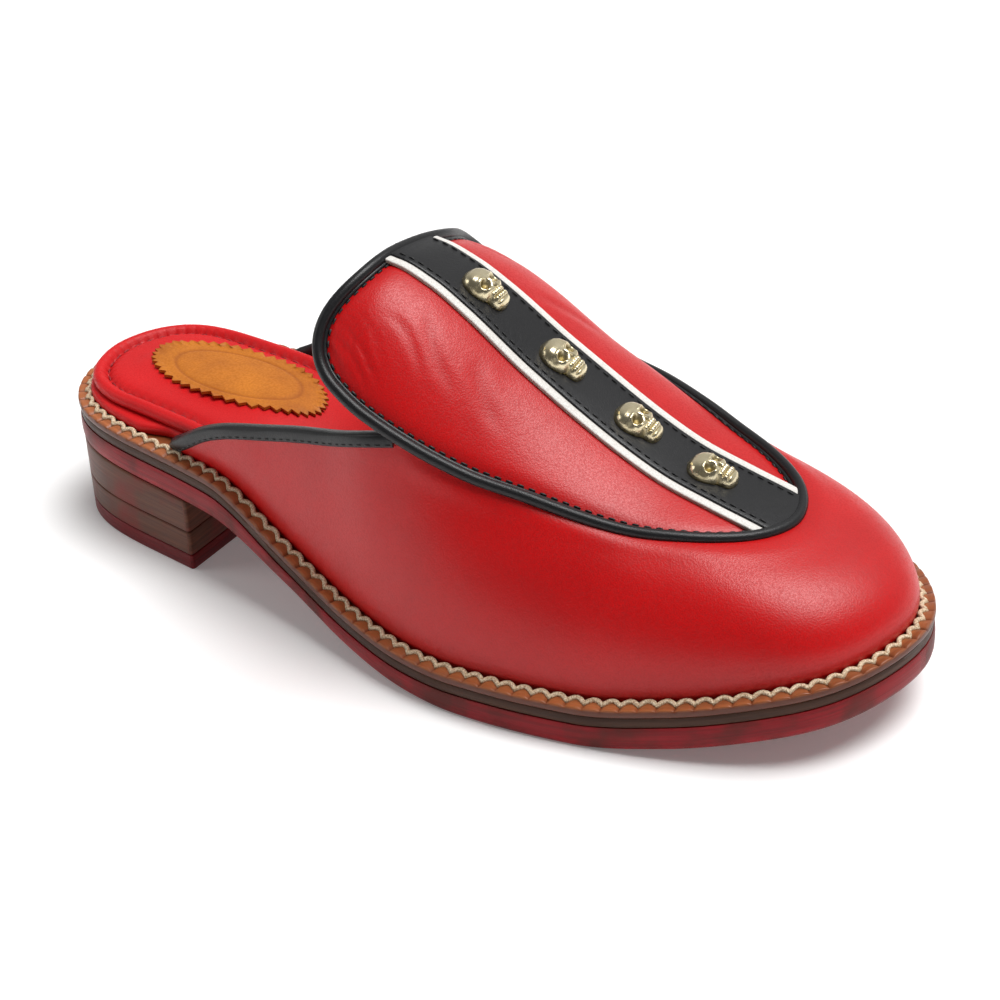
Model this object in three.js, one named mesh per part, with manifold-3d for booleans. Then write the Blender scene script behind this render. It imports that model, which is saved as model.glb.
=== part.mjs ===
import * as THREE from 'three';
import { mergeVertices } from 'three/addons/utils/BufferGeometryUtils.js';
import Module from 'manifold-3d';

const wasm = await Module();
wasm.setup();

// A backless loafer mule for the right foot. Millimetres: x runs from the heel to the toe,
// y to the big-toe side (medial), z up from the floor.

// Sole sizes
const length = 270;          // outsole from heel to toe
const ballWidth = 106;       // across the welt at the ball
const waistWidth = 77;
const heelWidth = 69;
const heelHeight = 22.5;     // floor to the outsole at the heel breast
const toeSpring = 13.5;
const heelBreast = 58;       // length of the heel block
const topPieceThick = 4.5;
const liftThick = 7.5;
const outsoleThick = 7;
const midsoleThick = 3;
const weltThick = 2;
const weltWidth = 4.5;       // what shows outside the upper
const weltTuck = 5.5;        // what lies under the upper
const insoleThick = 3;
const sockThick = 3.6;
const patchThick = 0.8;
const patchLength = 61;
const patchWidth = 29;

// Upper sizes
const leather = 2;
const instepHeight = 90;     // sole edge to the crown of the tongue
const sideHeight = 40;       // sole edge to the topline at the waist
const apronWidth = 84;
const apronRear = 112;       // rear corners of the tongue from the heel
const apronToe = 231;        // front of the apron from the heel
const wingRear = 51;         // where the wings start from the heel
const junction = 142;        // where topline and apron meet
const pipingWide = 3.2;
const bindingHigh = 3.2;
const bindingThick = 0.9;
const strapWide = 18.5;
const strapThick = 1.2;
const trimWide = 2.6;
const trimThick = 0.9;
const studLong = 14;
const studWide = 10;
const studHigh = 5;
const studCount = 4;
const firstStud = 141;       // centre of the rear stud from the heel
const studPitch = 22.3;
const fit = 0.3;             // clearance between two pieces
const footFit = 0.4;         // clearance of the upper's edge over the curved welt
const stripFit = 0.5;        // clearance of the strap and trims over the curved apron

const soleEdge = outsoleThick + midsoleThick + weltThick + 2 * fit;

// Half breadths of the outline, as shares of the width named in each row.
const outlineRows = [
  { at: 0.02, of: heelWidth, lateral: 0.23, medial: 0.28 },
  { at: 0.07, of: heelWidth, lateral: 0.38, medial: 0.455 },
  { at: 0.16, of: heelWidth, lateral: 0.46, medial: 0.525 },
  { at: 0.27, of: heelWidth, lateral: 0.53, medial: 0.505 },
  { at: 0.40, of: waistWidth, lateral: 0.58, medial: 0.43 },
  { at: 0.52, of: ballWidth, lateral: 0.505, medial: 0.37 },
  { at: 0.62, of: ballWidth, lateral: 0.525, medial: 0.455 },
  { at: 0.72, of: ballWidth, lateral: 0.497, medial: 0.485 },
  { at: 0.82, of: ballWidth, lateral: 0.435, medial: 0.468 },
  { at: 0.91, of: ballWidth, lateral: 0.345, medial: 0.385 },
  { at: 0.97, of: ballWidth, lateral: 0.213, medial: 0.238 },
];
const heelTip = { at: 0, y: 0.02 * heelWidth };
const toeTip = { at: 1, y: 0.045 * ballWidth };

// Underside of the outsole: shares of the heel height and of the toe spring.
const solesRows = [
  { at: 0, heel: 1.12, toe: 0 },
  { at: 0.13, heel: 1.06, toe: 0 },
  { at: 0.25, heel: 1, toe: 0 },
  { at: 0.36, heel: 0.6, toe: 0 },
  { at: 0.46, heel: 0.22, toe: 0 },
  { at: 0.55, heel: 0.04, toe: 0 },
  { at: 0.6, heel: 0, toe: 0 },
  { at: 0.73, heel: 0, toe: 0 },
  { at: 0.82, heel: 0, toe: 0.24 },
  { at: 0.92, heel: 0, toe: 0.68 },
  { at: 1, heel: 0, toe: 1 },
];

// Outsole edge, thinner along the waist: shares of its thickness.
const edgeRows = [
  { at: 0, thick: 0.93 },
  { at: 0.25, thick: 0.97 },
  { at: 0.38, thick: 0.6 },
  { at: 0.5, thick: 0.72 },
  { at: 0.64, thick: 0.9 },
  { at: 1, thick: 1 },
];

// Apron and tongue: crown height as a share of the instep height, and how far the surface
// falls at half the apron's width, as a share of the same. Across, it falls by this power, and
// it leans down to the medial side between the edges by a share of the instep height.
const crownPower = 2.6;
const crownRows = [
  { at: 0.4, rise: 0.955, fall: 0.25, lean: 0.08 },
  { at: 0.455, rise: 0.953, fall: 0.235, lean: 0.08 },
  { at: 0.49, rise: 0.927, fall: 0.225, lean: 0.07 },
  { at: 0.526, rise: 0.872, fall: 0.215, lean: 0.05 },
  { at: 0.593, rise: 0.732, fall: 0.21, lean: 0.015 },
  { at: 0.65, rise: 0.62, fall: 0.175, lean: 0 },
  { at: 0.7, rise: 0.53, fall: 0.152, lean: 0 },
  { at: 0.74, rise: 0.468, fall: 0.14, lean: 0 },
  { at: 0.79, rise: 0.409, fall: 0.13, lean: 0 },
  { at: 0.83, rise: 0.36, fall: 0.13, lean: 0 },
  { at: 0.87, rise: 0.303, fall: 0.13, lean: 0 },
];

// On the medial side the tongue's edge tucks under: how deep, as a share of the instep height,
// from which share of the half width, and over which part of the length.
const tuck = { depth: 0.072, from: 0.68, start: 0.393, full: 0.459, ebb: 0.637, stop: 0.8 };

// Plan outline of the apron between the tongue's rear corners (0) and its toe (1), listed from
// the middle of the tongue's rear edge: half widths as shares of the apron's width.
const apronRows = [
  { at: 0.05, half: 0.235 },
  { at: 0.022, half: 0.38 },
  { at: 0.038, half: 0.452 },
  { at: 0.13, half: 0.503 },
  { at: 0.27, half: 0.505 },
  { at: 0.38, half: 0.475 },
  { at: 0.5, half: 0.435 },
  { at: 0.67, half: 0.372 },
  { at: 0.83, half: 0.285 },
  { at: 0.94, half: 0.18 },
  { at: 0.985, half: 0.09 },
];
const tongueMiddle = { at: 0.056 };

// The apron's middle, shifted to the medial side, as a share of the apron's width.
const middleRows = [
  { at: 0, shift: 0 },
  { at: 0.25, shift: 0.02 },
  { at: 0.5, shift: 0.042 },
  { at: 0.87, shift: 0.055 },
  { at: 1, shift: 0.065 },
];

// Wing topline: height over the welt as a share of the side height, and how far it leans in
// from the feather edge, as a share of the same. The medial one lies a little lower.
const toplineRows = [
  { at: 0, rise: 0.06, lean: -0.03 },
  { at: 0.07, rise: 0.17, lean: -0.05 },
  { at: 0.145, rise: 0.295, lean: -0.05 },
  { at: 0.225, rise: 0.41, lean: -0.045 },
  { at: 0.305, rise: 0.54, lean: -0.035 },
  { at: 0.433, rise: 0.765, lean: 0 },
  { at: 0.57, rise: 0.99, lean: 0.03 },
  { at: 0.71, rise: 1.19, lean: 0.06 },
  { at: 0.85, rise: 1.37, lean: 0.09 },
];
const medialLower = { by: 0.07, at: 0.35, reach: 0.3 };

const colours = {
  red: [0xb3121a, 0.35, 0],
  darkRed: [0x8c1418, 0.5, 0],
  brown: [0x5a3120, 0.6, 0],
  tan: [0xc69a64, 0.6, 0],
  cognac: [0xb9742c, 0.6, 0],
  black: [0x161616, 0.45, 0],
  white: [0xe6e2da, 0.6, 0],
  gold: [0xc9b27a, 0.3, 0.9],
};

const group = new THREE.Group();
const v3 = (x, y, z) => new THREE.Vector3(x, y, z);

// A smooth function through one column of a table, which never overshoots its rows.
function along(rows, column) {
  const last = rows.length - 1;
  const steps = rows.slice(1).map((row, i) => row.at - rows[i].at);
  const rates = steps.map((step, i) => (rows[i + 1][column] - rows[i][column]) / step);
  const slopes = rows.map((row, i) => {
    if (i === 0) return rates[0];
    if (i === last) return rates[last - 1];
    if (rates[i - 1] * rates[i] <= 0) return 0;
    const before = 2 * steps[i] + steps[i - 1];
    const after = steps[i] + 2 * steps[i - 1];
    return (before + after) / (before / rates[i - 1] + after / rates[i]);
  });
  return (at) => {
    const clamped = Math.min(Math.max(at, rows[0].at), rows[last].at);
    let i = 0;
    while (i < last - 1 && clamped > rows[i + 1].at) i += 1;
    const t = (clamped - rows[i].at) / steps[i];
    const bend = t * t * (3 - 2 * t);
    const lead = t * (1 - t) * (1 - t) * steps[i] * slopes[i];
    const tail = t * t * (1 - t) * steps[i] * slopes[i + 1];
    return rows[i][column] * (1 - bend) + rows[i + 1][column] * bend + lead - tail;
  };
}

function smoothStep(x, from, to) {
  const t = Math.min(Math.max((x - from) / (to - from), 0), 1);
  return t * t * (3 - 2 * t);
}

// Joins closed sections of equal count into one body, as a loop or with two end caps.
function loft(sections, wrap = false) {
  const count = sections[0].length;
  const positions = sections.flat().flatMap((p) => [p.x, p.y, p.z]);
  const triangles = [];
  const spans = wrap ? sections.length : sections.length - 1;
  for (let i = 0; i < spans; i++) {
    const here = i * count;
    const next = ((i + 1) % sections.length) * count;
    for (let j = 0; j < count; j++) {
      const k = (j + 1) % count;
      triangles.push(here + j, here + k, next + k, here + j, next + k, next + j);
    }
  }
  if (!wrap) {
    for (const [start, flip] of [[0, true], [(sections.length - 1) * count, false]]) {
      let low = 0;
      let high = count - 1;
      while (high - low > 1) {
        const near = [low, low + 1, high];
        triangles.push(...(flip ? near.reverse() : near).map((i) => start + i));
        low += 1;
        if (high - low > 1) {
          const far = [low, high - 1, high];
          triangles.push(...(flip ? far.reverse() : far).map((i) => start + i));
          high -= 1;
        }
      }
    }
  }
  return facesOut(positions, triangles);
}

function facesOut(positions, triangles) {
  let volume = 0;
  const corner = (i) => v3(...positions.slice(3 * i, 3 * i + 3));
  for (let i = 0; i < triangles.length; i += 3) {
    const [a, b, c] = triangles.slice(i, i + 3).map(corner);
    volume += a.dot(b.cross(c));
  }
  if (volume < 0) triangles.reverse();
  return new wasm.Manifold(new wasm.Mesh({
    numProp: 3,
    vertProperties: new Float32Array(positions),
    triVerts: new Uint32Array(triangles),
  }));
}

function fromGeometry(geometry) {
  geometry.deleteAttribute('normal');
  geometry.deleteAttribute('uv');
  const merged = mergeVertices(geometry, 1e-4);
  return facesOut([...merged.attributes.position.array], [...merged.index.array]);
}

function addPart(name, body, colour) {
  const mesh = body.getMesh();
  const geometry = new THREE.BufferGeometry();
  geometry.setAttribute('position', new THREE.BufferAttribute(mesh.vertProperties, 3));
  geometry.setIndex(new THREE.BufferAttribute(mesh.triVerts, 1));
  geometry.computeVertexNormals();
  const [color, roughness, metalness] = colours[colour];
  const part = new THREE.Mesh(geometry, new THREE.MeshStandardMaterial({ color, roughness, metalness }));
  part.name = name;
  part.position.set(-length / 2, -middleY, 0);
  group.add(part);
}

// The sole's outline starts at the toe and runs back along the lateral side.
function closedCurve(tip, rows, back) {
  const lateral = [...rows].reverse().map((row) => v3(row.x, row.lateral, 0));
  const medial = rows.map((row) => v3(row.x, row.medial, 0));
  const curve = new THREE.CatmullRomCurve3([tip, ...lateral, back, ...medial], true, 'centripetal');
  curve.arcLengthDivisions = 900;
  return curve;
}

const outline = closedCurve(
  v3(length * toeTip.at, toeTip.y, 0),
  outlineRows.map((row) => (
    { x: length * row.at, lateral: -row.of * row.lateral, medial: row.of * row.medial })),
  v3(length * heelTip.at, heelTip.y, 0),
);

const heelShare = along(solesRows, 'heel');
const toeShare = along(solesRows, 'toe');
const edgeShare = along(edgeRows, 'thick');
const underside = (x) => heelHeight * heelShare(x / length) + toeSpring * toeShare(x / length);
const outsoleTop = (x) => underside(x) + outsoleThick * edgeShare(x / length);
const midsoleTop = (x) => outsoleTop(x) + fit + midsoleThick;
const weltTop = (x) => midsoleTop(x) + fit + weltThick;

// Where along a closed curve, between two shares of it, a given x lies.
function shareAt(curve, x, from, to) {
  let low = from;
  let high = to;
  const rising = curve.getPointAt(to % 1).x > curve.getPointAt(from % 1).x;
  for (let i = 0; i < 40; i++) {
    const middle = (low + high) / 2;
    if ((curve.getPointAt(middle).x < x) === rising) low = middle;
    else high = middle;
  }
  return (low + high) / 2;
}

// Share of the way round where the outline turns at the heel.
const turnSteps = 400;
const heelTurn = Array.from({ length: turnSteps }, (_, i) => i / turnSteps).reduce((best, share) => (
  outline.getPointAt(share).x < outline.getPointAt(best).x ? share : best));

// Shares round the whole outline, in pairs that lie straight across the shoe from each other.
const stationCount = 42;
const stations = Array.from({ length: stationCount }, (_, i) => (
  length * (1 + Math.cos(Math.PI * (i + 0.5) / stationCount)) / 2));
const wholeRing = [
  ...stations.map((x) => shareAt(outline, x, 0, heelTurn)),
  ...[...stations].reverse().map((x) => shareAt(outline, x, heelTurn, 1)),
];

// Halfway between the outline's two sides, where the part has its origin.
const sideYs = wholeRing.map((share) => outline.getPointAt(share).y);
const middleY = (Math.min(...sideYs) + Math.max(...sideYs)) / 2;

function inset(share, distance) {
  const point = outline.getPointAt(share);
  const tangent = outline.getTangentAt(share);
  const gap = typeof distance === 'function' ? distance(point.x) : distance;
  return v3(point.x + tangent.y * gap, point.y - tangent.x * gap, 0);
}

function ring(shares, distance, height) {
  return shares.map((share) => {
    const point = inset(share, distance);
    return point.setZ(height(point.x));
  });
}

const raised = (height, more) => (x) => height(x) + more;

// Heel: three layers under the outsole's seat.
const breastLateral = shareAt(outline, heelBreast, 0.2, heelTurn);
const breastMedial = shareAt(outline, heelBreast, heelTurn, 0.8);
const heelSteps = 22;
const heelRing = Array.from({ length: heelSteps + 1 }, (_, i) => (
  breastLateral + (breastMedial - breastLateral) * i / heelSteps));
const heelSetIn = 0.3;
const flat = (z) => () => z;

function heelLayer(low, high) {
  return loft([ring(heelRing, heelSetIn, flat(low)), ring(heelRing, heelSetIn, flat(high))]);
}

addPart('heel_top_piece', heelLayer(0, topPieceThick), 'darkRed');
const liftLow = topPieceThick + fit;
addPart('heel_lift_lower', heelLayer(liftLow, liftLow + liftThick), 'brown');
const upperLow = liftLow + liftThick + fit;
addPart('heel_lift_upper', loft([
  ring(heelRing, heelSetIn, flat(upperLow)),
  ring(heelRing, heelSetIn, raised(underside, -fit)),
]), 'brown');

// Outsole, with its lower edge broken, and the midsole over it.
const edgeBreak = 1;
addPart('outsole', loft([
  ring(wholeRing, edgeBreak, underside),
  ring(wholeRing, 0, raised(underside, edgeBreak)),
  ring(wholeRing, 0, outsoleTop),
]), 'darkRed');
addPart('midsole', loft([
  ring(wholeRing, fit, raised(outsoleTop, fit)),
  ring(wholeRing, fit, midsoleTop),
]), 'brown');

// Welt: a flat ring, its outer edge a little proud of the midsole.
const weltInner = weltWidth + leather + weltTuck;
addPart('welt', loft([
  ring(wholeRing, 0, raised(midsoleTop, fit)),
  ring(wholeRing, 0, weltTop),
  ring(wholeRing, weltInner, weltTop),
  ring(wholeRing, weltInner, raised(midsoleTop, fit)),
], true), 'tan');

// Insole: it fills the welt and steps out over it, up to the bound edge of the upper and,
// behind the wings, up to the welt's stitching.
const wallFoot = weltWidth + leather + bindingThick + 3 * fit;
const boardStep = { from: 16, to: 4 };
const sockStep = { from: 49, to: -1 };
const edgeStep = (step) => (x) => weltWidth
  + (wallFoot - weltWidth) * smoothStep(x, wingRear - step.from, wingRear - step.to);
const boardEdge = edgeStep(boardStep);
const insoleBase = raised(weltTop, fit);
const insoleTop = raised(insoleBase, insoleThick);
addPart('insole', loft([
  ring(wholeRing, weltInner + fit, raised(midsoleTop, fit)),
  ring(wholeRing, weltInner + fit, insoleBase),
  ring(wholeRing, boardEdge, insoleBase),
  ring(wholeRing, boardEdge, insoleTop),
]), 'red');

// Padded sock: a rolled rim, a stitched groove inside it and a flat-topped cushion. Its edge
// draws in from the board's by and by. Distances in from that edge, and heights as shares of the
// pad's thickness.
const sockEdge = edgeStep(sockStep);
const sockBase = raised(insoleTop, fit);
const sockRows = [
  { in: 1.6, up: 0 },
  { in: 0.8, up: 0.5 },
  { in: 2.2, up: 0.95 },
  { in: 4.8, up: 0.9 },
  { in: 6.2, up: 0.6 },
  { in: 9.5, up: 0.9 },
  { in: 13.5, up: 1 },
];
addPart('sock_pad', loft(sockRows.map((row) => (
  ring(wholeRing, (x) => sockEdge(x) + row.in, raised(sockBase, sockThick * row.up))))), 'red');

// Heel patch: an oval with a pinked edge, flat on the cushion.
const patchTeeth = 44;
const toothDeep = 1.6;
const patchRear = 20;
const patchMiddle = patchRear + patchLength / 2;
const patchShift = 4.5;
const sockTop = raised(sockBase, sockThick);

function patchRing(height) {
  return Array.from({ length: 2 * patchTeeth }, (_, i) => {
    const angle = Math.PI * i / patchTeeth;
    const tooth = i % 2 ? toothDeep : 0;
    const x = patchMiddle + Math.cos(angle) * (patchLength / 2 - tooth);
    const y = patchShift + Math.sin(angle) * (patchWidth / 2 - tooth);
    return v3(x, y, sockTop(x) + height);
  });
}

addPart('heel_patch', loft([patchRing(fit), patchRing(fit + patchThick)]), 'cognac');

// Crown of the apron and tongue. It follows the sole's line, eased, so that it stays fair.
const heelEase = { from: 0.2, span: 0.4 };
const toeEase = { from: 0.62, span: 0.38 };
const crownRise = along(crownRows, 'rise');
const crownFall = along(crownRows, 'fall');
const crownLean = along(crownRows, 'lean');
const apronShift = along(middleRows, 'shift');
const apronShare = (x) => (x - apronRear) / (apronToe - apronRear);
const apronMiddle = (x) => apronWidth * apronShift(apronShare(x));

function lastLine(x) {
  const heel = Math.min(Math.max(1 - (x / length - heelEase.from) / heelEase.span, 0), 1);
  const toe = Math.max((x / length - toeEase.from) / toeEase.span, 0);
  return soleEdge + heelHeight * heel * heel + toeSpring * toe * toe;
}

function crownHeight(x, y) {
  const across = (y - apronMiddle(x)) / (apronWidth / 2);
  const fall = crownFall(x / length) * Math.abs(across) ** crownPower;
  const lean = crownLean(x / length) * across * (1 - across * across);
  const tucked = smoothStep(x / length, tuck.start, tuck.full) - smoothStep(x / length, tuck.ebb, tuck.stop);
  const edge = Math.max((across - tuck.from) / (1 - tuck.from), 0);
  const under = tuck.depth * tucked * edge * edge;
  return lastLine(x) + instepHeight * (crownRise(x / length) - fall - lean - under);
}

function crownPoint(x, y) {
  return v3(x, y, crownHeight(x, y));
}

function crownNormal(x, y) {
  const step = 0.5;
  const slopeX = (crownHeight(x + step, y) - crownHeight(x - step, y)) / (2 * step);
  const slopeY = (crownHeight(x, y + step) - crownHeight(x, y - step)) / (2 * step);
  return v3(-slopeX, -slopeY, 1).normalize();
}

const apronX = (at) => apronRear + (apronToe - apronRear) * at;
const apronEdge = closedCurve(
  v3(apronToe, apronMiddle(apronToe), 0),
  apronRows.map(({ at, half }) => {
    const x = apronX(at);
    return { x, lateral: apronMiddle(x) - apronWidth * half, medial: apronMiddle(x) + apronWidth * half };
  }),
  v3(apronX(tongueMiddle.at), apronMiddle(apronX(tongueMiddle.at)), 0),
);

// A point of the apron: share of the way round its edge, and share of the way out to it.
const apronHub = v3((apronRear + apronToe) / 2, apronMiddle((apronRear + apronToe) / 2), 0);

function apronPlan(share, out) {
  return apronHub.clone().lerp(apronEdge.getPointAt(share), out);
}

const apronCount = 60;
const apronRing = Array.from({ length: apronCount }, (_, i) => i / apronCount);

function apronLayer(out, depth) {
  return apronRing.map((share) => {
    const plan = apronPlan(share, out);
    return crownPoint(plan.x, plan.y).addScaledVector(crownNormal(plan.x, plan.y), -depth);
  });
}

const apronOuts = [0.1, 0.3, 0.5, 0.67, 0.8, 0.9, 1];
const apron = loft([
  ...apronOuts.map((out) => apronLayer(out, leather)),
  ...[...apronOuts].reverse().map((out) => apronLayer(out, 0)),
]);

// A round cord along part of the apron's edge, lifted off the crown and set out from the edge.
function edgeCord(shares, radius, lift, out, sides, wrap) {
  return loft(shares.map((share) => {
    const plan = apronEdge.getPointAt(share);
    const tangent = apronEdge.getTangentAt(share);
    const normal = crownNormal(plan.x, plan.y);
    const outward = v3(-tangent.y, tangent.x, 0);
    outward.addScaledVector(normal, -outward.dot(normal)).normalize();
    const middle = crownPoint(plan.x, plan.y).addScaledVector(normal, lift).addScaledVector(outward, out);
    return Array.from({ length: sides }, (_, i) => {
      const angle = 2 * Math.PI * (i + 0.5) / sides;
      return middle.clone()
        .addScaledVector(normal, radius * Math.sin(angle))
        .addScaledVector(outward, radius * Math.cos(angle));
    });
  }), wrap);
}

const pipingRadius = pipingWide / 2;
const pipingLift = 0.4;
const pipingOut = 0.6;
const cordSides = 8;
const piping = edgeCord(apronRing, pipingRadius, pipingLift, pipingOut, cordSides, true);
const pipingGroove = edgeCord(apronRing, pipingRadius + fit, pipingLift, pipingOut, cordSides, true);
addPart('apron_piping', piping, 'black');

// Vamp: columns from the feather edge up to the topline on the wings and to the apron's edge
// further forward.
const feather = weltWidth + fit;
const featherRear = {
  lateral: shareAt(outline, wingRear, 0.2, heelTurn),
  medial: shareAt(outline, wingRear, heelTurn, 0.8),
};
const featherJoin = {
  lateral: shareAt(outline, junction, 0.1, heelTurn),
  medial: shareAt(outline, junction, heelTurn, 0.9),
};
const apronTurn = 0.5;
const seamJoin = {
  lateral: shareAt(apronEdge, junction, 0.1, apronTurn),
  medial: shareAt(apronEdge, junction, apronTurn, 0.9),
};

function seamPoint(share) {
  const plan = apronEdge.getPointAt(share);
  return crownPoint(plan.x, plan.y);
}

function topline(side) {
  const wing = junction - wingRear;
  const points = toplineRows.map((row) => {
    const share = featherRear[side] + (featherJoin[side] - featherRear[side]) * row.at;
    const foot = inset(share, feather + sideHeight * row.lean);
    const away = (row.at - medialLower.at) / medialLower.reach;
    const lower = side === 'medial' ? medialLower.by * Math.exp(-away * away) : 0;
    return foot.setZ(weltTop(wingRear + wing * row.at) + sideHeight * (row.rise - lower));
  });
  return new THREE.CatmullRomCurve3([...points, seamPoint(seamJoin[side])], false, 'centripetal');
}

const toplines = { lateral: topline('lateral'), medial: topline('medial') };
const wingColumns = 9;
const seamColumns = 15;
const wallRows = 6;
const sideBulge = 2.5;

function wallColumn(featherShare, top, fullness) {
  const foot = inset(featherShare, feather);
  foot.setZ(weltTop(foot.x) + footFit);
  const outer = inset(featherShare, feather - sideBulge * (0.5 + fullness));
  const rise = top.z - foot.z;
  const low = v3(outer.x, outer.y, foot.z + rise * (0.4 + 0.15 * fullness));
  const reach = 0.3 + 0.3 * fullness;
  const high = v3(
    top.x + (foot.x - top.x) * reach,
    top.y + (foot.y - top.y) * reach,
    top.z - rise * (0.25 - 0.18 * fullness),
  );
  const column = new THREE.CubicBezierCurve3(foot, low, high, top);
  return Array.from({ length: wallRows + 1 }, (_, i) => column.getPoint(i / wallRows));
}

function wallSide(side, tip) {
  const columns = [];
  for (let i = 0; i < wingColumns; i++) {
    const at = i / wingColumns;
    const share = featherRear[side] + (featherJoin[side] - featherRear[side]) * at;
    columns.push(wallColumn(share, toplines[side].getPoint(at), 0));
  }
  for (let i = 0; i < seamColumns; i++) {
    const at = i / seamColumns;
    const share = featherJoin[side] + (tip - featherJoin[side]) * at;
    const seam = seamJoin[side] + (tip - seamJoin[side]) * at;
    columns.push(wallColumn(share, seamPoint(seam), smoothStep(at, 0, 1)));
  }
  return columns;
}

const wallOuter = [
  ...wallSide('lateral', 0),
  wallColumn(0, seamPoint(0), 1),
  ...wallSide('medial', 1).reverse(),
];

// Normals of a grid of points, pointing out of the shoe.
function gridNormals(grid) {
  return grid.map((column, i) => column.map((_, j) => {
    const before = grid[Math.max(i - 1, 0)][j];
    const after = grid[Math.min(i + 1, grid.length - 1)][j];
    const below = column[Math.max(j - 1, 0)];
    const above = column[Math.min(j + 1, column.length - 1)];
    return after.clone().sub(before).cross(above.clone().sub(below)).normalize();
  }));
}

const wallNormals = gridNormals(wallOuter);
wallNormals.forEach((column) => column[0].setZ(0).normalize());

const wallInner = wallOuter.map((column, i) => column.map((point, j) => {
  const inner = point.clone().addScaledVector(wallNormals[i][j], -leather);
  return j === 0 ? inner.setZ(weltTop(inner.x) + footFit) : inner;
}));
const wall = loft(wallOuter.map((column, i) => [...column, ...[...wallInner[i]].reverse()]));

// A bead behind the seam ties the vamp to the apron and backs the piping.
const beadRadius = 2.6;
const beadLift = -3;
const beadCount = 40;
const beadReach = 0.01;
const beadSides = 6;
const beadFrom = seamJoin.lateral + beadReach;
const beadTo = seamJoin.medial - beadReach - 1;
const beadShares = Array.from({ length: beadCount + 1 }, (_, i) => (
  (beadFrom + (beadTo - beadFrom) * i / beadCount + 1) % 1));
const bead = edgeCord(beadShares, beadRadius, beadLift, 0, beadSides, false);
addPart('upper', wall.add(apron).add(bead).subtract(pipingGroove), 'red');

// Topline bindings: a folded strip over the wing's edge, 0.3 off it all round.
function binding(side) {
  const from = side === 'lateral' ? 0 : wallOuter.length - 1;
  const step = side === 'lateral' ? 1 : -1;
  const sections = [];
  for (let i = 0; i < wingColumns; i++) {
    const column = from + step * i;
    const top = wallOuter[column][wallRows];
    const normal = wallNormals[column][wallRows];
    const down = wallOuter[column][wallRows - 1].clone().sub(top);
    down.addScaledVector(normal, -down.dot(normal)).normalize();
    const reach = Math.min(bindingHigh, top.distanceTo(wallOuter[column][0]) - 2 * fit);
    const outside = fit + bindingThick;
    const place = (out, deep) => top.clone().addScaledVector(normal, out).addScaledVector(down, deep);
    sections.push([
      place(outside, reach), place(outside, 0), place(0, -outside), place(-leather, -outside),
      place(-leather - outside, 0), place(-leather - outside, reach),
      place(-leather - fit, reach), place(-leather - fit, -fit), place(fit, -fit), place(fit, reach),
    ]);
  }
  return loft(sections);
}

addPart('binding_lateral', binding('lateral').subtract(pipingGroove), 'black');
addPart('binding_medial', binding('medial').subtract(pipingGroove), 'black');

// Strap and trims: strips that lie on the crown between the piping's two ends.
const stripSteps = 26;

function strip(inner, outer, thick) {
  const sections = Array.from({ length: stripSteps + 1 }, (_, i) => {
    const x = apronRear + (apronToe - apronRear) * i / stripSteps;
    const middle = apronMiddle(x);
    const across = [0, 0.5, 1].map((at) => middle + inner + (outer - inner) * at);
    const layer = (up) => across.map((y) => crownPoint(x, y).addScaledVector(crownNormal(x, y), up));
    return [...layer(stripFit), ...layer(stripFit + thick).reverse()];
  });
  return loft(sections).subtract(pipingGroove);
}

// The cut at the piping can leave a crumb past it, so only the largest body is kept.
function largest(body) {
  return body.decompose().reduce((best, part) => (part.volume() > best.volume() ? part : best));
}

const strapHalf = strapWide / 2;
const trimIn = strapHalf + fit;
addPart('centre_strap', largest(strip(-strapHalf, strapHalf, strapThick)), 'black');
addPart('trim_lateral', largest(strip(-trimIn - trimWide, -trimIn, trimThick)), 'white');
addPart('trim_medial', largest(strip(trimIn, trimIn + trimWide, trimThick)), 'white');

// Studs: a small skull, cranium to the tongue, on the strap. Its forms are shares of the
// stud's length, width and height, placed from the middle of its flat back.
const studForms = {
  cranium: { long: 0.66, wide: 1, high: 2, x: -0.17, y: 0, z: 0 },
  jaw: { long: 0.42, wide: 0.56, high: 1.2, x: 0.29, y: 0, z: 0 },
  leftEye: { long: 0.15, wide: 0.26, high: 0.6, x: 0.06, y: 0.2, z: 0.9 },
  rightEye: { long: 0.15, wide: 0.26, high: 0.6, x: 0.06, y: -0.2, z: 0.9 },
  below: { long: 2, wide: 2, high: 2, x: 0, y: 0, z: -1 },
};
const ballFaces = { around: 14, down: 10 };

function studForm(geometry, form) {
  return fromGeometry(geometry
    .scale(studLong * form.long, studWide * form.wide, studHigh * form.high)
    .translate(studLong * form.x, studWide * form.y, studHigh * form.z));
}

function studBody() {
  const ball = (form) => studForm(new THREE.SphereGeometry(0.5, ballFaces.around, ballFaces.down), form);
  const box = (form) => studForm(new THREE.BoxGeometry(1, 1, 1), form);
  return ball(studForms.cranium)
    .add(box(studForms.jaw))
    .subtract(ball(studForms.leftEye))
    .subtract(ball(studForms.rightEye))
    .subtract(box(studForms.below));
}

const stud = studBody();
for (let i = 0; i < studCount; i++) {
  const x = firstStud + studPitch * i;
  const y = apronMiddle(x);
  const normal = crownNormal(x, y);
  const forward = v3(1, 0, 0).addScaledVector(normal, -normal.x).normalize();
  const under = crownPoint(x, y);
  const ends = [-1, 1].map((end) => crownPoint(x + end * forward.x * studLong / 2, y));
  const hollow = Math.max(0, ...ends.map((end) => end.sub(under).dot(normal)));
  const seat = under.addScaledVector(normal, strapThick + stripFit + fit + hollow);
  const basis = new THREE.Matrix4().makeBasis(forward, normal.clone().cross(forward), normal);
  basis.setPosition(seat);
  addPart(`skull_stud_${i + 1}`, stud.transform(basis.elements), 'gold');
}

export default group;
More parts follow.
